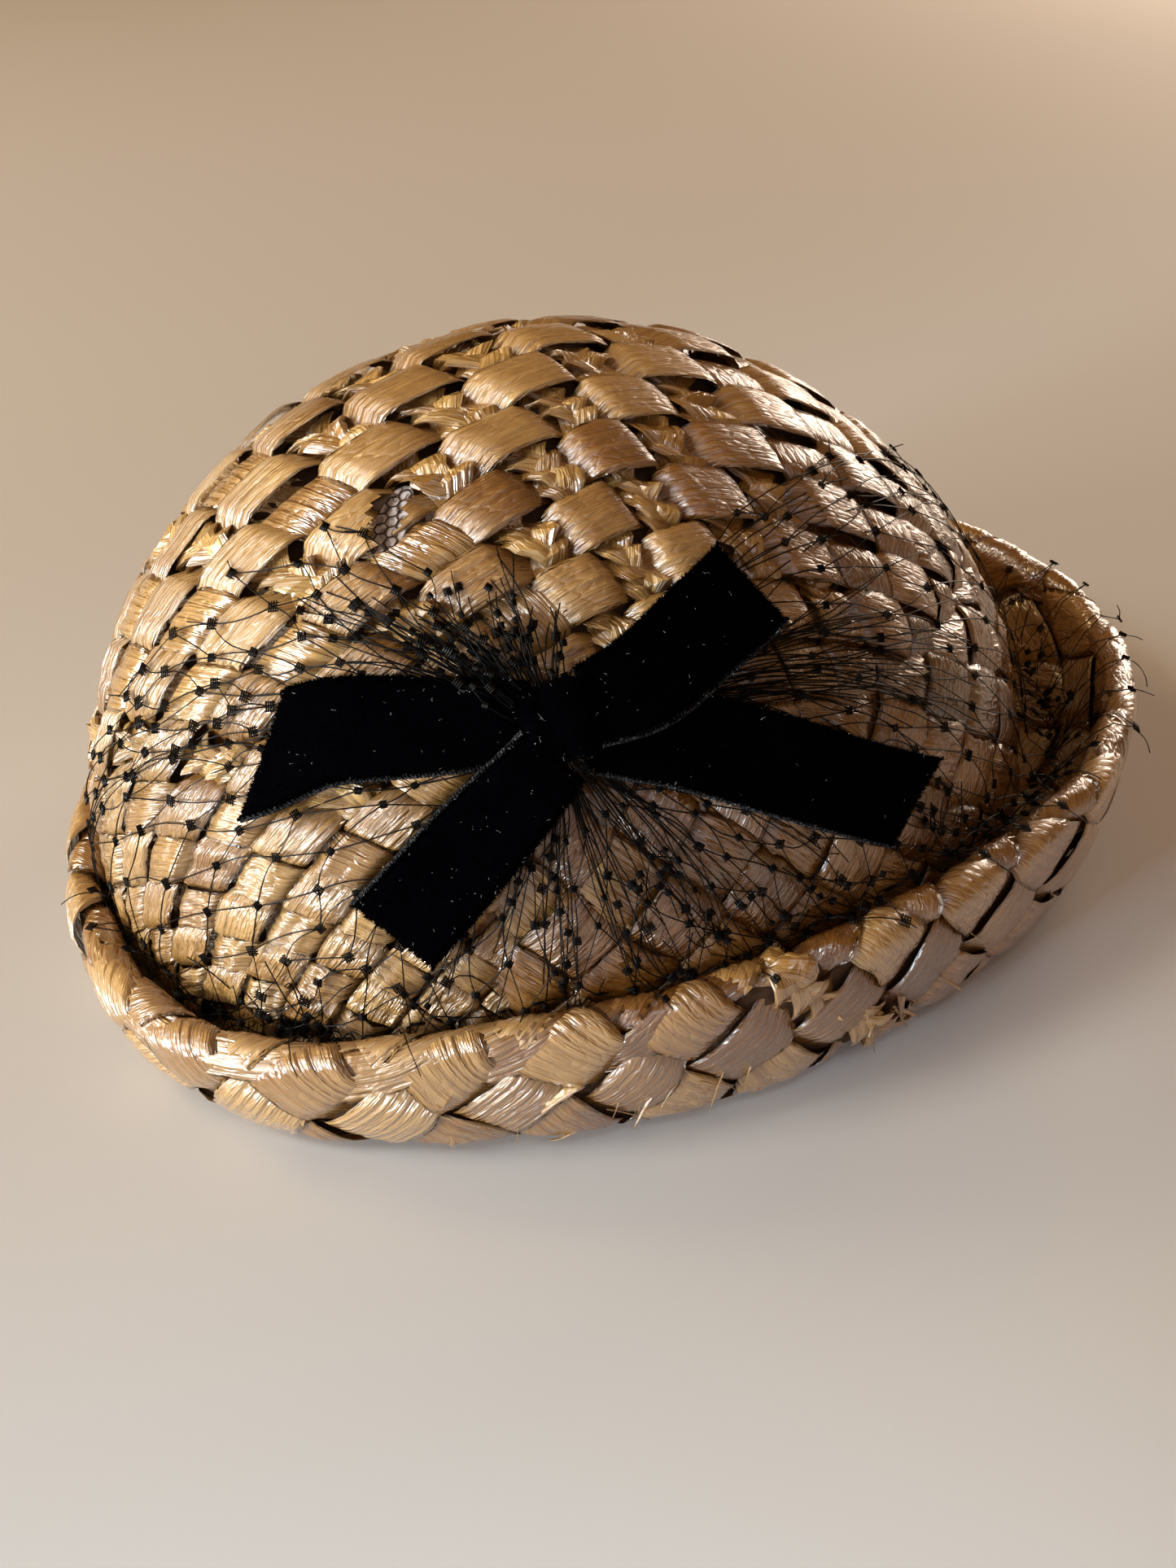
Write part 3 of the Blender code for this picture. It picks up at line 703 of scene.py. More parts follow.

# %% [markdown]
# ## Backing of the straw
# Between the straws the eye meets shadow and the foundation. A thin dark brown backing lies under the
# weave, on the crown and inside the brim: its colour is partly the foundation's brown net and partly
# painted shade that darkens the gaps between the straws. It is left open at the slit, where the pale
# net of the foundation shows.

# %% Backing shells
def shell_piece(name, points, thick_mm, keep=None):
    """One open sheet of dark brown backing, partly foundation net and partly painted shade, with a plain map,
    thickened evenly to both sides.
    """
    plain_map = np.zeros((1, *points.shape[:2], 2))
    piece = grid_piece(name, points[None], plain_map, BROWN_NET_AND_SHADE, tube=False, keep=keep)
    thick = piece.modifiers.new("thickness", "SOLIDIFY")
    thick.thickness, thick.offset = thick_mm * MM, 0
    return piece


# Mottled dark brown: partly the brown net of the foundation, partly painted shade for the gaps between the
# straws.
BROWN_NET_AND_SHADE, tree, principled = new_material("brown_net_and_painted_shade", Roughness=0.85)
where = add(tree, "ShaderNodeTexCoord").outputs["Object"]
browns = two_colours(tree, noise(tree, where, 900.0, 2.0), "2C1B0E", "5A3C20")
tree.links.new(browns, principled.inputs["Base Color"])

drops = np.linspace(0.5, BASE_DROP_MM - 0.4, 86)
around, down = np.meshgrid(np.linspace(0, 2 * np.pi, 181), drops, indexing="ij")
along, across = slit_place(around, down)
open_here = (along / (SLIT_HALF_MM[0] + 1)) ** 2 + (across / (SLIT_HALF_MM[1] + 1.5)) ** 2 < 1
crown_shell = raised(around, down, np.full(around.shape, -1.5))
crown_backing = shell_piece("crown_backing", crown_shell, 0.2, keep=~open_here[None, :-1, :-1])
around, arc = np.meshgrid(AROUND * BRIM_MEAN_MM, np.linspace(-80, 91, 100), indexing="ij")
brim_backing = shell_piece("brim_backing", on_brim(around, arc, np.full(around.shape, -0.9)), 0.15)
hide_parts("crown")
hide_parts("brim")

# %% [markdown]
# ## The bow
# The bow is 16 mm velvet ribbon: rayon pile woven into a thin ground. Two of its four ends are cut
# square and two on a slant. Each end is a path of a few places on the dome, with the ribbon's width
# and height at each, read on a smooth line. It narrows towards the knot, where the real ribbon is
# gathered. The pile is a soft, near-black finish that catches light only at its edge.

# %% Velvet material
VELVET, tree, principled = new_material(
    "black_rayon_velvet", Roughness=1.0, Sheen_Weight=0.01, Sheen_Roughness=0.4,
    Sheen_Tint=linear("8890A0"), Specular_IOR_Level=0.0)
where = add(tree, "ShaderNodeTexCoord").outputs["Object"]
blacks = two_colours(tree, noise(tree, where, 160.0, 3.0), "010102", "040406")
tree.links.new(blacks, principled.inputs["Base Color"])
tree.links.new(bump(tree, noise(tree, where, 3200.0, 1.0), 0.7, 0.0003), principled.inputs["Normal"])

# %% Ribbon ends
# Columns: plan angle in degrees, drop, width, height of the ribbon's middle above the crown (mm).
RIBBON_ROWS = {
    "bow_left": (
        (245.4, 75.6, 11.0, 3.5),
        (235.2, 76.2, 13.5, 3.5),
        (226.0, 77.0, 15.0, 4.0),
        (219.0, 79.0, 15.5, 4.6),
        (212.6, 84.6, 16.0, 4.4),
    ),
    "bow_lower": (
        (248.0, 81.5, 11.5, 5.4),
        (240.0, 92.0, 14.0, 4.1),
        (234.5, 100.5, 15.2, 3.8),
        (229.0, 110.0, 16.0, 4.2),
    ),
    "bow_upper": (
        (253.0, 74.4, 12.0, 5.6),
        (262.0, 71.8, 14.5, 5.6),
        (273.0, 66.3, 15.5, 4.8),
        (285.8, 61.2, 16.0, 4.4),
    ),
    "bow_right": (
        (253.7, 78.8, 11.0, 3.5),
        (267.5, 82.5, 14.5, 3.5),
        (279.0, 89.5, 15.5, 3.8),
        (289.5, 98.0, 15.5, 4.4),
        (298.0, 105.6, 16.0, 5.0),
    ),
}
RIBBON_CUT_MM, RIBBON_STEPS = 16.0, 44
END_CUT_MM = {"bow_left": 7.0, "bow_lower": 0.0, "bow_upper": 0.0, "bow_right": 3.0}
VELVET_RING = np.concatenate([np.linspace(-1, 1, 13), np.linspace(1, -1, 9)[1:-1]])
VELVET_SIDE = np.concatenate([np.ones(13), -np.ones(7)])


def smooth_rows(rows, steps):
    """Columns of a short open table read on a smooth line through its rows."""
    table = np.array(rows)
    table = np.concatenate([2 * table[:1] - table[1:2], table, 2 * table[-1:] - table[-2:-1], table[-1:]])
    place = np.linspace(1, len(rows), steps)
    return [through(column, place) for column in table.T]


def ribbon(name, rows, rng):
    """Ribbon end with a rounded rim: middle line, width across it, and half its thickness each way,
    less near the edges. Returns the piece and its rows for what is sewn or stands on it."""
    angle, drop, width, lift = smooth_rows(rows, RIBBON_STEPS)
    angle = np.radians(angle)
    middle = raised(angle, drop, lift)
    along = np.gradient(middle, axis=0)
    length = np.cumsum(np.linalg.norm(along, axis=1))
    outwards = unit(raised(angle, drop, lift + 1) - middle)
    across = unit(np.cross(outwards, along))
    ripple = 0.35 * np.sin(length / 5.2 + rng.uniform(0, 6))[:, None] * VELVET_RING
    ripple = ripple + 0.5 * (VELVET_RING**2 - 0.4)
    thick = 0.6 * np.sqrt(np.clip(1.02 - VELVET_RING**6, 0, 1)) * VELVET_SIDE
    points = middle[:, None] + across[:, None] * (width[:, None] / 2 * VELVET_RING)[..., None]
    points = points + outwards[:, None] * (ripple + thick)[..., None]
    slant = np.linspace(0, 1, RIBBON_STEPS)[:, None] ** 5
    cut = END_CUT_MM[name.replace("_velvet", "")] * slant * VELVET_RING
    points = points + unit(along)[:, None] * cut[..., None]
    offset = (width[:, None] / 2 * VELVET_RING)[None]
    piece = grid_piece(name, points[None], ring_uv(length[None], offset), VELVET)
    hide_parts(name.replace("_velvet", ""))
    return piece, points, outwards, length[-1]


rng = np.random.default_rng(5)
bow = {name: ribbon(name + "_velvet", rows, rng) for name, rows in RIBBON_ROWS.items()}
print({name: f"{made[3]:.0f} mm long" for name, made in bow.items()})

# %% [markdown]
# ## Knot, selvedge, pile and lint
# The knot is the same ribbon pulled tight round the middle of the bow, so it is a small rounded
# block with a few folds. Along its long edges velvet ribbon has a woven selvedge, which shows as a
# dull twisted line. The pile breaks up the outline, so tufts 0.3 to 1 mm high stand on the bow, most
# of those on the ribbon near its edge. Pale specks of lint and a few longer fibres cling to them.

# %% Threads along paths
def threads(name, paths, radius, material, sides=5, tone=None):
    """Round threads, strips x rows x 3: at each row a ring stands square to the thread's direction,
    on two vectors found with cross products."""
    direction = unit(np.gradient(paths, axis=1))
    first = unit(np.cross(direction, np.array([0.31, 0.52, 0.80])))
    second = np.cross(direction, first)
    around = np.arange(sides) / sides * 2 * np.pi
    ring = first[:, :, None] * np.cos(around)[:, None] + second[:, :, None] * np.sin(around)[:, None]
    radius = np.broadcast_to(radius, paths.shape[:2])[..., None, None]
    along = np.cumsum(np.linalg.norm(np.gradient(paths, axis=1), axis=2), 1)
    uv = np.stack(np.broadcast_arrays(along[..., None], np.linspace(0, 1, sides + 1)), -1)
    return grid_piece(name, paths[:, :, None] + ring * radius, uv, material, tone)


def thread_material(name, colour, roughness, sheen):
    """Spun thread: a fine noise speckles it with a second colour and presses its normal."""
    made, tree, principled = new_material(
        name, Roughness=roughness, Sheen_Weight=sheen, Specular_IOR_Level=0.15)
    twist = noise(tree, add(tree, "ShaderNodeTexCoord").outputs["Object"], 2500.0, 1.0)
    specks = add(tree, "ShaderNodeMapRange", {"Value": twist, "From Min": 0.48, "From Max": 0.68})
    tree.links.new(two_colours(tree, specks.outputs[0], *colour), principled.inputs["Base Color"])
    tree.links.new(bump(tree, twist, 0.4, 0.0001), principled.inputs["Normal"])
    return made


NET_THREAD = thread_material("black_spun_net_thread", ("010101", "060507"), 0.32, 0.0)
SELVEDGE = thread_material("grey_woven_selvedge", ("050506", "4A4A4C"), 0.7, 0.0)
LINT = thread_material("pale_lint", ("6E7074", "D4D4D2"), 0.8, 0.2)

# %% Knot of the bow
KNOT_ANGLE, KNOT_DROP_MM, KNOT_LIFT_MM = math.radians(249.5), 76.0, 3.9
KNOT_HALF_MM = (6.8, 6.4, 3.3)
knot_at = raised(KNOT_ANGLE, KNOT_DROP_MM, KNOT_LIFT_MM)
knot_out = unit(raised(KNOT_ANGLE, KNOT_DROP_MM, KNOT_LIFT_MM + 1) - knot_at)
knot_right = unit(np.cross([0.0, 0.0, 1.0], knot_out))
knot_up = np.cross(knot_out, knot_right)
v, w = np.meshgrid(np.linspace(-1.5, 1.5, 40), np.linspace(0, 2 * np.pi, 48, endpoint=False), indexing="ij")


def power(value, exponent):
    """A value raised to a power with its sign kept, which squares off a ball."""
    return np.sign(value) * np.abs(value) ** exponent


folds = 1 + 0.10 * np.sin(3.0 * v + 2.2 * np.sin(w)) * np.cos(v) + 0.08 * np.sin(6 * v + 1.4 * np.cos(w))
pinch = 1 - 0.12 * np.cos(v) ** 4
right = KNOT_HALF_MM[0] * power(np.sin(v), 0.7)
upward = KNOT_HALF_MM[1] * power(np.cos(v), 0.6) * power(np.cos(w), 0.75) * folds * pinch
outward = KNOT_HALF_MM[2] * power(np.cos(v), 0.6) * power(np.sin(w), 0.75) * folds
points = knot_at + right[..., None] * knot_right + upward[..., None] * knot_up + outward[..., None] * knot_out
uv = np.stack(np.broadcast_arrays(v[:, :1], np.linspace(0, 6.28, 49)), -1)
bow_knot = grid_piece("bow_knot_velvet", points[None], uv[None], VELVET)
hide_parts("bow_knot")

# %% Selvedge
TWIST_MM, STRAND_MM, SELVEDGE_STEPS = 1.1, 0.3, 200
# The long edge that shows on each ribbon end: its first column (0) or its last (12).
SHOWN_EDGE = {"bow_left": 12, "bow_lower": 0, "bow_upper": 0, "bow_right": 0}
rows = []
for name, (piece, ribbon_points, ribbon_out, ribbon_length) in bow.items():
    place = np.linspace(0, RIBBON_STEPS - 1, SELVEDGE_STEPS)
    low, part = np.minimum(place.astype(int), RIBBON_STEPS - 2), (place % 1)[:, None]
    part[-1] = 1
    for edge, inner in ((0, 1), (12, 11)):
        line = ribbon_points[low, edge] * (1 - part) + ribbon_points[low + 1, edge] * part
        side = unit(ribbon_points[low, edge] - ribbon_points[low, inner])
        out = unit(ribbon_out[low])
        tuck, push = (0.1, 0.35) if edge == SHOWN_EDGE[name] else (0.8, -0.5)
        line = line - out * tuck + side * push
        turn = 2 * np.pi * np.linspace(0, ribbon_length, SELVEDGE_STEPS) / TWIST_MM
        for k in (0, np.pi):
            around = side * np.cos(turn + k)[:, None] + out * np.sin(turn + k)[:, None]
            rows.append(line + around * STRAND_MM)
selvedge = threads("bow_selvedge", np.array(rows), STRAND_MM, SELVEDGE, sides=4)


# %% Tufts of pile
def tufts(name, roots, tips, width_mm, material):
    """One small triangle a tuft: two corners at its root and one at its tip."""
    side = unit(np.cross(tips - roots, rng.normal(size=roots.shape))) * width_mm / 2
    points = (np.stack([roots - side, roots + side, tips], 1).reshape(-1, 3) - ORIGIN_MM) * MM
    mesh = bpy.data.meshes.new(name)
    mesh.from_pydata(points, [], np.arange(len(points)).reshape(-1, 3))
    mesh.uv_layers.new(name="laid")
    mesh.materials.append(material)
    piece = bpy.data.objects.new(name, mesh)
    bpy.context.scene.collection.objects.link(piece)
    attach(piece, "root")
    print(f"{name}: {len(roots)} tufts")
    return piece


TUFTS_EACH, KNOT_TUFTS = 7500, 5000
LAST_ROW = RIBBON_STEPS - 1
roots, tips = [], []
for piece, ribbon_points, ribbon_out, _ in bow.values():
    edge = rng.random(TUFTS_EACH) < 0.6
    at_edge = rng.choice([0.1, 11.9], TUFTS_EACH) + rng.uniform(-0.1, 0.1, TUFTS_EACH)
    across = np.clip(np.where(edge, at_edge, rng.uniform(0, 12, TUFTS_EACH)), 0, 11.99)
    at_end = rng.random(TUFTS_EACH) < 0.12
    place = np.where(at_end, LAST_ROW - 0.01, rng.uniform(0, LAST_ROW, TUFTS_EACH))
    i, j = place.astype(int), across.astype(int)
    s, t = (place - i)[:, None], (across - j)[:, None]
    near = ribbon_points[i, j] * (1 - t) + ribbon_points[i, j + 1] * t
    far = ribbon_points[i + 1, j] * (1 - t) + ribbon_points[i + 1, j + 1] * t
    root = near * (1 - s) + far * s
    along = unit(far - near)
    sideways = unit(ribbon_points[i, 12] - ribbon_points[i, 0]) * ((across - 6) / 6)[:, None] ** 5
    end = along * np.clip((place - 41) / 2, 0, 1)[:, None]
    lean = unit(ribbon_out[i] * 0.8 + sideways + end + 0.35 * rng.normal(size=root.shape))
    roots.append(root)
    tips.append(root + lean * rng.uniform(0.4, np.where(edge, 1.0, 0.7))[:, None])
grid = points.reshape(-1, 3)
picked = rng.integers(0, len(grid), KNOT_TUFTS)
roots.append(grid[picked] + rng.normal(size=(KNOT_TUFTS, 3)) * 0.1)
lean = unit(unit(grid[picked] - knot_at) + 0.4 * rng.normal(size=(KNOT_TUFTS, 3)))
tips.append(roots[-1] + lean * rng.uniform(0.3, 0.8, (KNOT_TUFTS, 1)))
bow_pile = tufts("bow_pile", np.concatenate(roots), np.concatenate(tips), 0.15, VELVET)

# %% Lint on the bow
SPECKS, HAIRS = 420, 9
picked = rng.choice(len(bow_pile.data.polygons), SPECKS, replace=False)
start = np.concatenate(tips)[picked]
curl = np.cumsum(rng.normal(size=(SPECKS, 6, 3)) * 0.05 + rng.normal(size=(SPECKS, 1, 3)) * 0.05, axis=1)
curl *= np.where(np.arange(SPECKS) < HAIRS, 9.0, rng.uniform(0.5, 1.3, SPECKS))[:, None, None]
lint = threads("bow_lint", start[:, None] + curl, 0.03, LINT, sides=3)

print("ribbon ends declared as cloth:", len(bow))

# %% [markdown]
# ## Surface that the net lies on
# The net leaves the crown where the brim begins, dips into the valley and climbs over the rim. Its
# surface is one more table: at each angle the crown's own line, then a few points across the
# valley and over the roll, joined and measured by length from the top of the dome.

# %% Table for the net
DRAPE_MM = np.arange(0.0, 222.0)
DRAPE_TOP_MM = 15.0
rim, top, foot = plan(RIM_R, AROUND), plan(RIM_Z, AROUND), plan(CROWN_R, AROUND)
gap = rim - 2 * ROLL_MM - foot
sag = np.clip(gap * 0.9, 0, DRAPE_TOP_MM)
crown_drops = np.linspace(0, BASE_DROP_MM, 150)
crown_lines = dome(*np.meshgrid(AROUND, crown_drops, indexing="ij"))


def over_the_rim(k):
    """Line of the net at one of the table's angles, in mm, from the dome's top over the rim, with
    the length of it where it reaches the rim's top."""
    leave = crown_lines[k][crown_lines[k][:, 2] > top[k] - 2 - 0.35 * sag[k]]
    reach = np.array([
        foot[k] + 0.55 * gap[k], rim[k] - 2 * ROLL_MM - 0.5, rim[k] - ROLL_MM, rim[k] + 0.4, rim[k] + 1.5])
    height = np.array([top[k] - 3 - sag[k], top[k] - 3.5, top[k] + 0.4, top[k] - 3.5, top[k] - 14])
    flat = np.array([math.cos(AROUND[k]), math.sin(AROUND[k])])
    line = np.concatenate([leave, np.column_stack([reach[:, None] * flat, height])])
    length = np.concatenate([[0], np.cumsum(np.linalg.norm(np.diff(line, axis=0), axis=1))])
    return np.column_stack([np.interp(DRAPE_MM, length, line[:, c]) for c in range(3)]), length[-3]


lines = [over_the_rim(k) for k in range(len(AROUND))]
NET_TABLE = np.array([line for line, _ in lines])
RIM_AT_MM = np.array([at for _, at in lines])
for _ in range(4):
    NET_TABLE[:, 1:-1] = (NET_TABLE[:, :-2] + 2 * NET_TABLE[:, 1:-1] + NET_TABLE[:, 2:]) / 4
print(f"length from the dome's top to the rim: {RIM_AT_MM.min():.0f} to {RIM_AT_MM.max():.0f} mm")


def on_net(plane, lift):
    """Point above the net's surface at a place in the plane of angle and length from the top."""
    angle, drop = polar(plane)
    angle, drop = angle % (2 * np.pi), np.maximum(drop, 1.0)
    along = table_point(NET_TABLE, angle, drop + 1.5) - table_point(NET_TABLE, angle, drop - 1)
    across = table_point(NET_TABLE, angle + 0.02, drop) - table_point(NET_TABLE, angle - 0.02, drop)
    return table_point(NET_TABLE, angle, drop) + unit(np.cross(along, across)) * lift[..., None]


# %% [markdown]
# ## The net veil
# The veil is a knotted diamond net of black thread with meshes about 11 mm wide. It is drawn
# together under the knot of the bow and opens like a fan. Its outer edge is a short table of
# places: over the left of the crown, along the rim at the front, and back over the right. Spokes
# run from the bow to even steps along that edge, and each ring of knots lies half a spoke round
# from the last. A short spoke has fewer rings, since only on the longest are they spread further.
# Each thread is a thin round tube and each knot is a small square of wound thread. Under the bow
# more threads are gathered, and some run on over the front and the right side.

# %% Places of the knots
# Columns: plan angle in degrees, and length from the top in mm, or past the rim's top (1) or not (0).
NET_EDGE = np.array([
    (216.0, 45.0, 0), (206.0, 50.0, 0), (196.0, 62.0, 0), (187.0, 98.0, 0), (178.0, -4.0, 1),
    (190.0, 1.0, 1), (206.0, -3.0, 1), (222.0, -5.0, 1), (240.0, -4.0, 1), (258.0, -2.0, 1),
    (274.0, -3.0, 1), (290.0, 1.0, 1), (306.0, -1.0, 1), (322.0, 0.0, 1), (338.0, 2.0, 1),
    (354.0, 3.0, 1), (367.0, 1.0, 1), (373.0, 145.0, 0),
])
SPOKES, RINGS, FULL_SPOKE_MM, NET_LIFT_MM, THREAD_MM = 44, 11, 104.0, 2.7, 0.12
edge_angle = np.radians(NET_EDGE[:, 0])
edge_drop = NET_EDGE[:, 1] + NET_EDGE[:, 2] * at_angle(RIM_AT_MM, edge_angle)
steps = np.linspace(0, len(NET_EDGE) - 1, 600)
edge_plane = in_plane(*(np.interp(steps, range(len(NET_EDGE)), v) for v in (edge_angle, edge_drop)))
edge_space = on_net(edge_plane, np.zeros(len(steps)))
edge_length = np.concatenate([[0], np.cumsum(np.linalg.norm(np.diff(edge_space, axis=0), axis=1))])
rng = np.random.default_rng(23)
ring, spoke = np.meshgrid(np.arange(RINGS + 1), np.arange(SPOKES), indexing="ij")
place = (spoke + (ring % 2) / 2) / (SPOKES - 0.5)
gather = 0.35 * np.sin(2 * np.pi * place * 9 + 1.0) / SPOKES * (1 - ring / RINGS)
place = np.clip(place + gather + rng.normal(size=place.shape) * 0.10 / SPOKES, 0, 1) * edge_length[-1]
ends = np.stack([np.interp(place, edge_length, edge_plane[:, k]) for k in (0, 1)], -1)
knot_plane = KNOT_DROP_MM * np.array([math.cos(KNOT_ANGLE), math.sin(KNOT_ANGLE)])
share = 0.05 + 0.95 * ((ring + rng.normal(size=ring.shape) * 0.12) / RINGS).clip(0, 1) ** 1.12
reach, from_knot = np.linalg.norm(ends - knot_plane, axis=-1), share * FULL_SPOKE_MM
from_knot = np.where(reach > FULL_SPOKE_MM, share * reach, from_knot)
kept = from_knot < reach + 6
node_plane = knot_plane + unit(ends - knot_plane) * np.minimum(from_knot, reach)[..., None]
node_plane += rng.normal(size=node_plane.shape) * np.clip(share * 2.2, 0, 0.9)[..., None]
node_lift = NET_LIFT_MM + 0.4 * rng.random(share.shape)
node_lift = node_lift + 1.1 * np.clip(share - 0.25, 0, 1) * rng.random(share.shape)
print(f"edge of the net: {edge_length[-1]:.0f} mm, knots: {kept.sum()}")

# %% Threads between the knots
near, far = [], []
for side in (0, 1):
    other = spoke[:-1] - (1 - ring[:-1] % 2) + side
    good = (other >= 0) & (other < SPOKES) & kept[:-1] & kept[ring[1:], other.clip(0, SPOKES - 1)]
    near.append(np.stack([ring[:-1][good], spoke[:-1][good]], -1))
    far.append(np.stack([ring[1:][good], other[good]], -1))
near, far = np.concatenate(near), np.concatenate(far)
step = np.linspace(0, 1, 6)[None, :, None]
a, b = node_plane[near[:, 0], near[:, 1]], node_plane[far[:, 0], far[:, 1]]
bowed = rng.normal(size=(len(a), 1, 2)) * 0.55 * np.sin(np.pi * step)
paths = a[:, None] * (1 - step) + b[:, None] * step + bowed
lift_a, lift_b = (node_lift[end[:, 0], end[:, 1]][:, None] for end in (near, far))
lifts = lift_a * (1 - step[..., 0]) + lift_b * step[..., 0]
lifts = lifts + rng.normal(size=(len(a), 1)) * 0.35 * np.sin(np.pi * step[..., 0])
veil_threads = threads("veil_threads", on_net(paths, lifts), THREAD_MM, NET_THREAD, sides=4)


# %% Knots of wound thread
def wound_knots(name, plane, lift, size, rng):
    """Eight short threads a knot, four each way across a small square turned on its corner."""
    at = on_net(plane, lift)
    out = unit(on_net(plane, lift + 1) - at)
    turn = rng.uniform(-0.5, 0.5, len(at))
    first = unit(np.cross(out, unit(at - knot_at)))
    second = np.cross(out, first)
    one = unit(first * np.cos(turn)[:, None] + second * np.sin(turn)[:, None])
    two = np.cross(out, one)
    shift = np.tile([-0.36, -0.12, 0.12, 0.36], 2)[None, :, None, None]
    ends = np.array([-0.5, 0.5])[None, None, :, None]
    way = np.repeat([0, 1], 4)[None, :, None, None]
    size = size[:, None, None, None]
    run, pass_by = (
        np.where(way == 0, x[:, None, None], y[:, None, None]) for x, y in ((one, two), (two, one)))
    height = (0.14 * (1 - 2 * way)) * out[:, None, None]
    lines = at[:, None, None] + run * ends * size + pass_by * shift * size + height
    return threads(name, lines.reshape(-1, 2, 3), 0.15, NET_THREAD, sides=3)


flat, knot_share = node_plane[1:][kept[1:]], share[1:][kept[1:]]
size = np.clip(1.0 + knot_share * 1.3, 1.0, 1.95) * rng.uniform(0.8, 1.15, len(flat))
veil_knots = wound_knots("veil_knots", flat, node_lift[1:][kept[1:]], size, rng)

# %% Gather under the bow, and cut ends
def rays(turn_deg, reach_mm, lift_from, lift_to, bulge, rows=8):
    """Bent threads that start under the bow's knot, above its middle: places in the plane and lifts."""
    count = len(turn_deg)
    step = np.linspace(0, 1, rows)[None]
    turn = np.radians(turn_deg)[:, None] + rng.normal(size=(count, 1)) * 0.12 * step**2
    reach = 1.5 + reach_mm[:, None] * step
    sway = rng.normal(size=(count, 1)) * 0.7 * np.sin(np.pi * step)
    sway = sway + 0.25 * np.cumsum(rng.normal(size=(count, rows)), axis=1)
    rightward = reach * np.cos(turn) - sway * np.sin(turn)
    backward = 3.0 + reach * np.sin(turn) + sway * np.cos(turn)
    lift = lift_from + (lift_to - lift_from) * step
    lift = lift + bulge * rng.random((count, 1)) * np.sin(np.pi * step)
    return knot_plane + np.stack([rightward, backward], -1), lift


step = np.linspace(0, 1, 8)[None, :, None]
first = node_plane[0][np.repeat(np.arange(SPOKES), 2)]
fan = (knot_plane + (first - knot_plane) * 0.05)[:, None] * (1 - step) + first[:, None] * step
fan_lift = 2.2 + 0.3 * step[..., 0] + 0.5 * np.sin(np.pi * step[..., 0]) * rng.random((len(first), 1))
# Columns: direction in degrees, longest reach in mm, number of threads.
BUNDLES = np.array([
    (130, 48, 14), (123, 44, 14), (115, 34, 14), (105, 26, 12), (95, 25, 10), (84, 29, 8), (70, 20, 8)])
bundle = np.repeat(BUNDLES, BUNDLES[:, 2], axis=0)
burst_turn = bundle[:, 0] + rng.normal(0, 2.6, len(bundle))
burst_reach = bundle[:, 1] * rng.uniform(0.4, 1.0, len(bundle))
burst, burst_lift = rays(burst_turn, burst_reach, 2.2, 3.0, 2.2)
front, front_lift = rays(rng.uniform(-155, -25, 46), rng.uniform(26, 66, 46), 2.0, 2.9, 0.9)
beside, beside_lift = rays(rng.uniform(-5, 7, 30), rng.uniform(60, 108, 30), 2.0, 3.0, 0.6)
last = kept.sum(0) - 1
side_knots = [node_plane[1::2, k][kept[1::2, k]] for k in (0, -1)]
outer = np.concatenate([node_plane[last, np.arange(SPOKES)], *side_knots])
away = unit(outer - knot_plane)[:, None] + rng.normal(size=(len(outer), 1, 2)) * 0.6
tail = outer[:, None] + away * step * rng.uniform(1.0, 3.5, (len(outer), 1, 1))
tail_lift = node_lift.mean() + 2.6 * step[..., 0] * rng.random((len(outer), 1))
planes = np.concatenate([fan + rng.normal(size=(len(fan), 1, 2)) * 0.5 * step, burst, front, beside, tail])
lifts = np.concatenate([fan_lift, burst_lift, front_lift, beside_lift, tail_lift])
veil_gather = threads("veil_gather", on_net(planes, lifts), THREAD_MM, NET_THREAD, sides=4)
loose, loose_lift = np.concatenate([burst, front]), np.concatenate([burst_lift, front_lift])
GATHER_KNOTS = 140
picked, along = rng.integers(0, len(loose), GATHER_KNOTS), rng.integers(3, 8, GATHER_KNOTS)
size = rng.uniform(0.9, 1.7, GATHER_KNOTS)
gather_knots = wound_knots("veil_gather_knots", loose[picked, along], loose_lift[picked, along], size, rng)

# %% Loose net in the valley
count = 90
turn = np.radians(np.concatenate([rng.normal(221, 5, 24), rng.uniform(252, 375, 66)]))
at_rim = at_angle(RIM_AT_MM, turn)
step = np.linspace(0, 1, 9)[None]
bent = turn[:, None] + rng.uniform(0.02, 0.13, (count, 1)) * rng.choice([-1, 1], (count, 1)) * 1.6 * step
curl = 4.5 * np.sin(step * rng.uniform(2, 6, (count, 1)) + rng.uniform(0, 6, (count, 1)))
drop = at_rim[:, None] - rng.uniform(7, 27, (count, 1)) + curl
plane = in_plane(bent, drop)
lift = 2.4 + 1.8 * rng.random((count, 1)) + 0.9 * np.sin(step * 5 + rng.uniform(0, 6, (count, 1)))
veil_bunch = threads("veil_bunch", on_net(plane, lift), THREAD_MM, NET_THREAD, sides=4)
bunch_knots = wound_knots("veil_bunch_knots", plane[:, 4], lift[:, 4], rng.uniform(1.2, 2.0, count), rng)
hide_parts("veil")

# %% [markdown]
# ## The slit and the foundation
# At the front left of the crown a straw has torn, and the hexagonal net of the foundation shows
# through. Its threads are drawn as real tubes there, with a small patch of pale net lifted close
# under them. Elsewhere the foundation is seen only from inside the hat, so its net, with cells a
# little larger, is a pattern in its material: three cosines at 60 degrees to each other add up to a
# honeycomb, used on each of three planes and mixed by the way the surface faces.

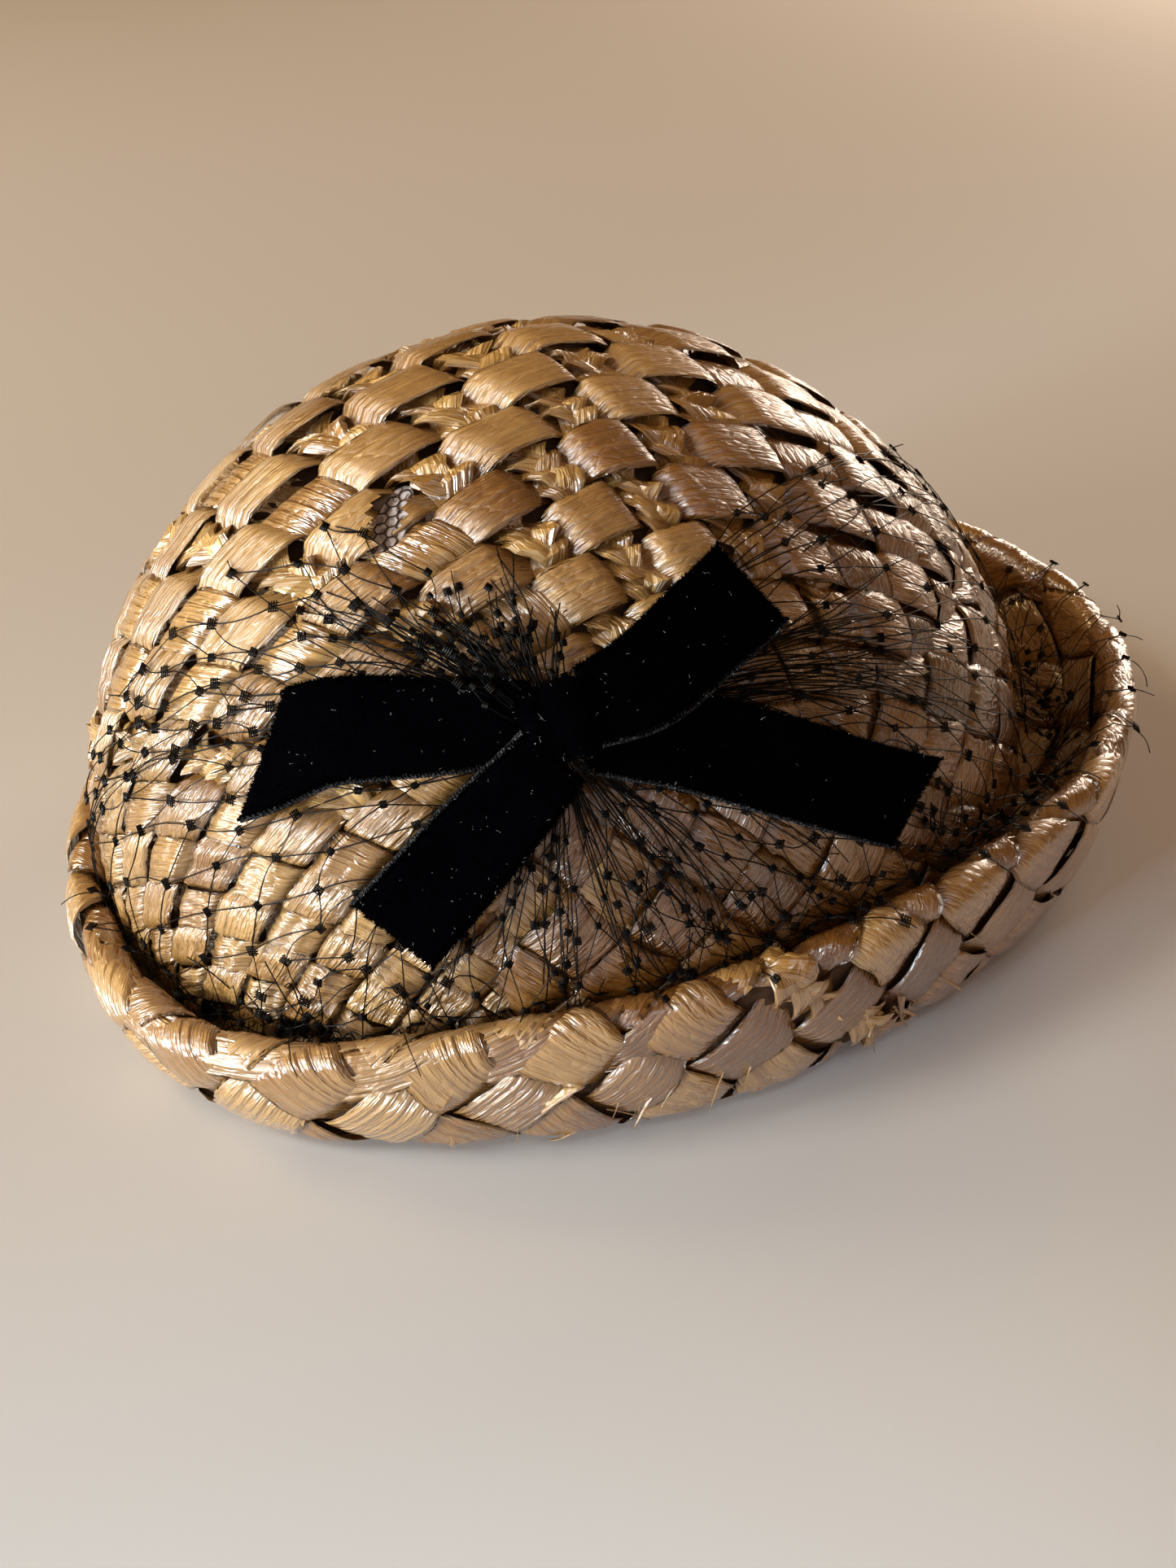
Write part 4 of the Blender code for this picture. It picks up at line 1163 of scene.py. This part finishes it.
# %% Hexagonal net at the slit
CELL_MM, HIDDEN_CELL_MM = 1.9, 2.1
PATCH_HALF_MM = (SLIT_HALF_MM[0] + 0.6, SLIT_HALF_MM[1] + 0.8)
edge_mm = CELL_MM / math.sqrt(3)
cell, row = np.meshgrid(np.arange(-7, 8), np.arange(-6, 7), indexing="ij")
centres = np.stack([cell * CELL_MM + (row % 2) * CELL_MM / 2, row * edge_mm * 1.5], -1).reshape(-1, 2)
corner = np.radians([30.0, 90.0, 150.0, 210.0])
ring_points = in_plane(corner, edge_mm)
sides = (centres[:, None, None] + np.stack([ring_points[:-1], ring_points[1:]], 1)[None]).reshape(-1, 2, 2)
inside = np.hypot(sides @ SLIT_WAY / PATCH_HALF_MM[0], sides @ SLIT_SIDE / PATCH_HALF_MM[1]).max(1) < 1
lines = SLIT_AT_MM + sides[inside]
slit_net = threads(
    "slit_net", raised(*polar(lines), np.full(lines.shape[:-1], 0.5)), 0.13, BROWN_NET_AND_SHADE, sides=4)

# %% Foundation's material
foundation, tree, principled = new_material("stiffened_foundation_net", Roughness=0.75)
where = add(tree, "ShaderNodeTexCoord").outputs["Object"]
facing = add(tree, "ShaderNodeNewGeometry").outputs["True Normal"]
axes, faced = (add(tree, "ShaderNodeSeparateXYZ", {"Vector": v}).outputs for v in (where, facing))
per_metre = 4 * math.pi / math.sqrt(3) / (HIDDEN_CELL_MM * MM)
total = 0.0
for first, second, third in ("XYZ", "YZX", "XZY"):
    honey = 0.0
    for turned in map(math.radians, (0, 60, 120)):
        part = calc(tree, "MULTIPLY", axes[first], math.cos(turned) * per_metre)
        phase = calc(tree, "MULTIPLY_ADD", axes[second], math.sin(turned) * per_metre, part)
        honey = calc(tree, "ADD", honey, calc(tree, "COSINE", phase))
    weight = calc(tree, "MULTIPLY", faced[third], faced[third])
    total = calc(tree, "ADD", total, calc(tree, "MULTIPLY", honey, weight))
holes = add(tree, "ShaderNodeMapRange", {"Value": total, "From Min": -0.3, "From Max": 0.7}).outputs[0]
tree.links.new(two_colours(tree, holes, "D8CCC4", "A89A8E"), principled.inputs["Base Color"])
tree.links.new(bump(tree, holes, 0.8, 0.0004, invert=True), principled.inputs["Normal"])
share, turn = np.meshgrid(np.linspace(0, 1, 6), np.linspace(0, 2 * np.pi, 33), indexing="ij")
oval = share * PATCH_HALF_MM[0] * np.cos(turn), share * PATCH_HALF_MM[1] * np.sin(turn)
plane = SLIT_AT_MM + oval[0][..., None] * SLIT_WAY + oval[1][..., None] * SLIT_SIDE
points = raised(*polar(plane), np.full(turn.shape, 0.3))
slit_ground = grid_piece("slit_ground", points[None], plane[None], foundation, tube=False)
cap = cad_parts["foundation_cap"]
cap.data.materials.clear()
cap.data.materials.append(foundation)
print("foundation net: a cell is", CELL_MM, "mm across")

# %% [markdown]
# ## Rim strips and raw ends
# A few flat straws lie along the rim, half of them at the front left, and dive under at their ends.
# One slanting straw is a braid. Under the brim, raw ends stick out where straws were joined in:
# some are slivers of film, some are single fibres.

# %% Strips along the rim
rng = np.random.default_rng(31)
# Columns: where a strip starts and ends round the rim in degrees, and its place past the rim's top
# in mm at its start and at its end.
RIM_STRIPS = np.array([
    (186.0, 210.0, -3, 5), (203.0, 229.0, 7, -4), (219.0, 243.0, 8, -3), (236.0, 256.0, 6, -5),
    (250.0, 270.0, 9, -4), (2.0, 22.0, -4, 6), (318.0, 338.0, 8, -4), (336.0, 356.0, 5, -5),
    (150.0, 172.0, -4, 5), (100.0, 122.0, 4, -4),
])
run = np.linspace(0, 1, 60)[None]
around = np.radians(RIM_STRIPS[:, :1] + (RIM_STRIPS[:, 1:2] - RIM_STRIPS[:, :1]) * run) * BRIM_MEAN_MM
dive = np.clip(np.minimum(run, 1 - run) * 7, 0, 1) + 0 * around
half = 4.9 * (0.70 + 0.30 * dive) * (1 + 0.10 * waves(around, [17.0, 41.0], rng))
offset, height = flat_ring(around, half, -1.1 + 1.9 * dive, 0.1 + 0.1 * dive, 0.38 + 0.2 * (1 - dive), rng)
arc = RIM_STRIPS[:, 2:3] + (RIM_STRIPS[:, 3:] - RIM_STRIPS[:, 2:3]) * run + 0.8 * waves(around, [37.0], rng)
points = on_brim(around[..., None] + 0 * offset, arc[..., None] + offset, height)
tone = rng.uniform(0.1, 0.5, len(points))[:, None, None]
rim_strips = grid_piece("rim_strips", points, ring_uv(around, offset), STRAW, tone)

# %% Braid on the brim
arc = np.linspace(-40, 60, 100)[None]
along = arc / SLANT
wave = crest(np.pi * (arc / (BRIM_STEP_MM / 2) - 0.5))
offset, height, uv = braid_rings(along, 0.1 + 0.5 * wave, 2.4, 2.8, 1.3, 18.0, rng)
arc = arc[..., None]
points = on_brim(BRIM_BRAID * BRIM_STEP_MM + arc - offset * SLANT, arc + offset * SLANT, height)
brim_braid = grid_piece("brim_braid", points, uv, PLAIT, rng.uniform(0.4, 0.7, 3)[:, None, None])
brim_braid.data.shade_flat()

# %% Raw ends
count = 46
turn = np.radians(np.concatenate([rng.uniform(225, 305, 26), rng.uniform(0, 360, 20)]))
past_rim = at_angle(OUTER_MM, turn) * rng.uniform(0.25, 0.62, count)
start = np.stack([turn * BRIM_MEAN_MM, past_rim], -1)
step = np.linspace(0, 1, 7)[None]
reach = rng.uniform(4, 12, (count, 1)) * step
way = rng.uniform(-1.2, 1.2, (count, 1))
places = start[:, None] + np.stack([reach * np.sin(way), reach * np.cos(way)], -1)
lift = 0.3 + rng.uniform(0.8, 3.6, (count, 1)) * step**1.4
middle = on_brim(places[..., 0], places[..., 1], lift)
middle[..., 2] = np.maximum(middle[..., 2], 0.5)
run = unit(np.gradient(middle, axis=1))
side = unit(np.cross(run, rng.normal(size=(count, 1, 3))))
thin = np.cross(run, side)
around = np.arange(6) / 6 * 2 * np.pi
wide = rng.uniform(0.2, 1.5, (count, 1)) * (1 - 0.75 * step)
points = middle[:, :, None] + side[:, :, None] * (wide[..., None] * np.cos(around))[..., None]
points = points + thin[:, :, None] * (0.1 * np.sin(around))[:, None]
uv = np.stack(np.broadcast_arrays(reach[..., None] + 0 * points[..., :1, 0], np.linspace(0, 3, 7)), -1)
raw_ends = grid_piece("raw_ends", points, uv, STRAW, rng.uniform(0.5, 1.0, count)[:, None, None])

# %% [markdown]
# ## Camera, floor and light
# The camera stands in front and a little to the left, 40 degrees up. A high and a low window light
# the hat from the left, warm walls stand behind it on both sides, and soft cool light falls on the
# plain pale table in front.

# %% Camera
CAMERA_UP_DEG, CAMERA_TURN_DEG, CAMERA_FAR_MM = 40.0, -21.0, 305.0
CAMERA_AIM_MM = np.array([3.8, 10.2, 0.0])
CAMERA_LENS = 30.0
up, turn = math.radians(CAMERA_UP_DEG), math.radians(CAMERA_TURN_DEG)
back = Vector((math.sin(turn) * math.cos(up), -math.cos(turn) * math.cos(up), math.sin(up)))
aim = Vector((CAMERA_AIM_MM - ORIGIN_MM) * MM)
camera = bpy.data.objects.new("camera", bpy.data.cameras.new("camera"))
bpy.context.scene.collection.objects.link(camera)
camera.data.lens = CAMERA_LENS
camera.location = aim + back * CAMERA_FAR_MM * MM
camera.rotation_mode = "QUATERNION"
camera.rotation_quaternion = (-back).to_track_quat("-Z", "Y")
camera.data.clip_start = 0.01
bpy.context.scene.camera = camera
print("camera at, m:", [round(v, 4) for v in camera.location])

# %% Floor and lights
table = new_material("pale_table", Roughness=0.85, Base_Color=linear("D0CDC9"))[0]
floor_mesh = bpy.data.meshes.new("floor")
floor_mesh.from_pydata([(-6, -6, 0), (6, -6, 0), (6, 6, 0), (-6, 6, 0)], [], [(0, 1, 2, 3)])
floor_mesh.materials.append(table)
floor = bpy.data.objects.new("floor", floor_mesh)
bpy.context.scene.collection.objects.link(floor)
floor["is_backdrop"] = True


def area_light(name, place, aim, size, watts, colour, spread_deg):
    """Square area light at a place, turned to its aim. Its spread narrows its cone of light."""
    lamp = bpy.data.lights.new(name, "AREA")
    lamp.size, lamp.energy, lamp.color = size, watts, linear(colour)[:3]
    lamp.spread = math.radians(spread_deg)
    thing = bpy.data.objects.new(name, lamp)
    thing.location = place
    thing.rotation_mode = "QUATERNION"
    thing.rotation_quaternion = (Vector(aim) - Vector(place)).to_track_quat("-Z", "Y")
    bpy.context.scene.collection.objects.link(thing)


# Columns: name, place, aim, size in m, power in W, sRGB colour, spread in degrees.
LIGHTS = (
    ("window_high", (-1.30, 0.15, 1.10), (0, 0, 0.03), 0.45, 10.4, "FFFEF8", 180),
    ("window_low", (-1.30, -0.05, 0.14), (0, 0, 0.05), 0.33, 13.0, "FFFCF0", 180),
    ("window_near", (-0.85, -0.28, 0.20), (0, 0, 0.05), 0.20, 0.17, "D8ECFF", 22),
    ("wall_behind_left", (-1.05, 1.00, 1.20), (0, 0, 0.03), 0.45, 6.0, "FFDFA4", 180),
    ("room_in_front", (-0.10, -1.60, 1.00), (0, 0, 0.03), 0.90, 2.9, "DCE8FF", 180),
    ("sky_on_table", (-0.16, -0.38, 0.55), (-0.16, -0.38, 0), 0.25, 0.84, "CCE8FF", 56),
    ("wall_behind_right", (1.58, 1.06, 0.34), (0.1, 0.1, 0.0), 1.00, 22.0, "FFE8D2", 180),
)
for light in LIGHTS:
    area_light(*light)
world = bpy.data.worlds.new("room")
world.use_nodes = True
world.node_tree.nodes["Background"].inputs["Color"].default_value = linear("FFC07A")
world.node_tree.nodes["Background"].inputs["Strength"].default_value = 0.23
bpy.context.scene.world = world
bpy.context.scene.view_settings.view_transform = "Standard"

# %% [markdown]
# ## Last look
# The last cells put each piece in its material slot, write the hat's box beside the packed
# model's, and let the frame check the whole scene.

# %% Slots, sizes and finish
low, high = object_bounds()
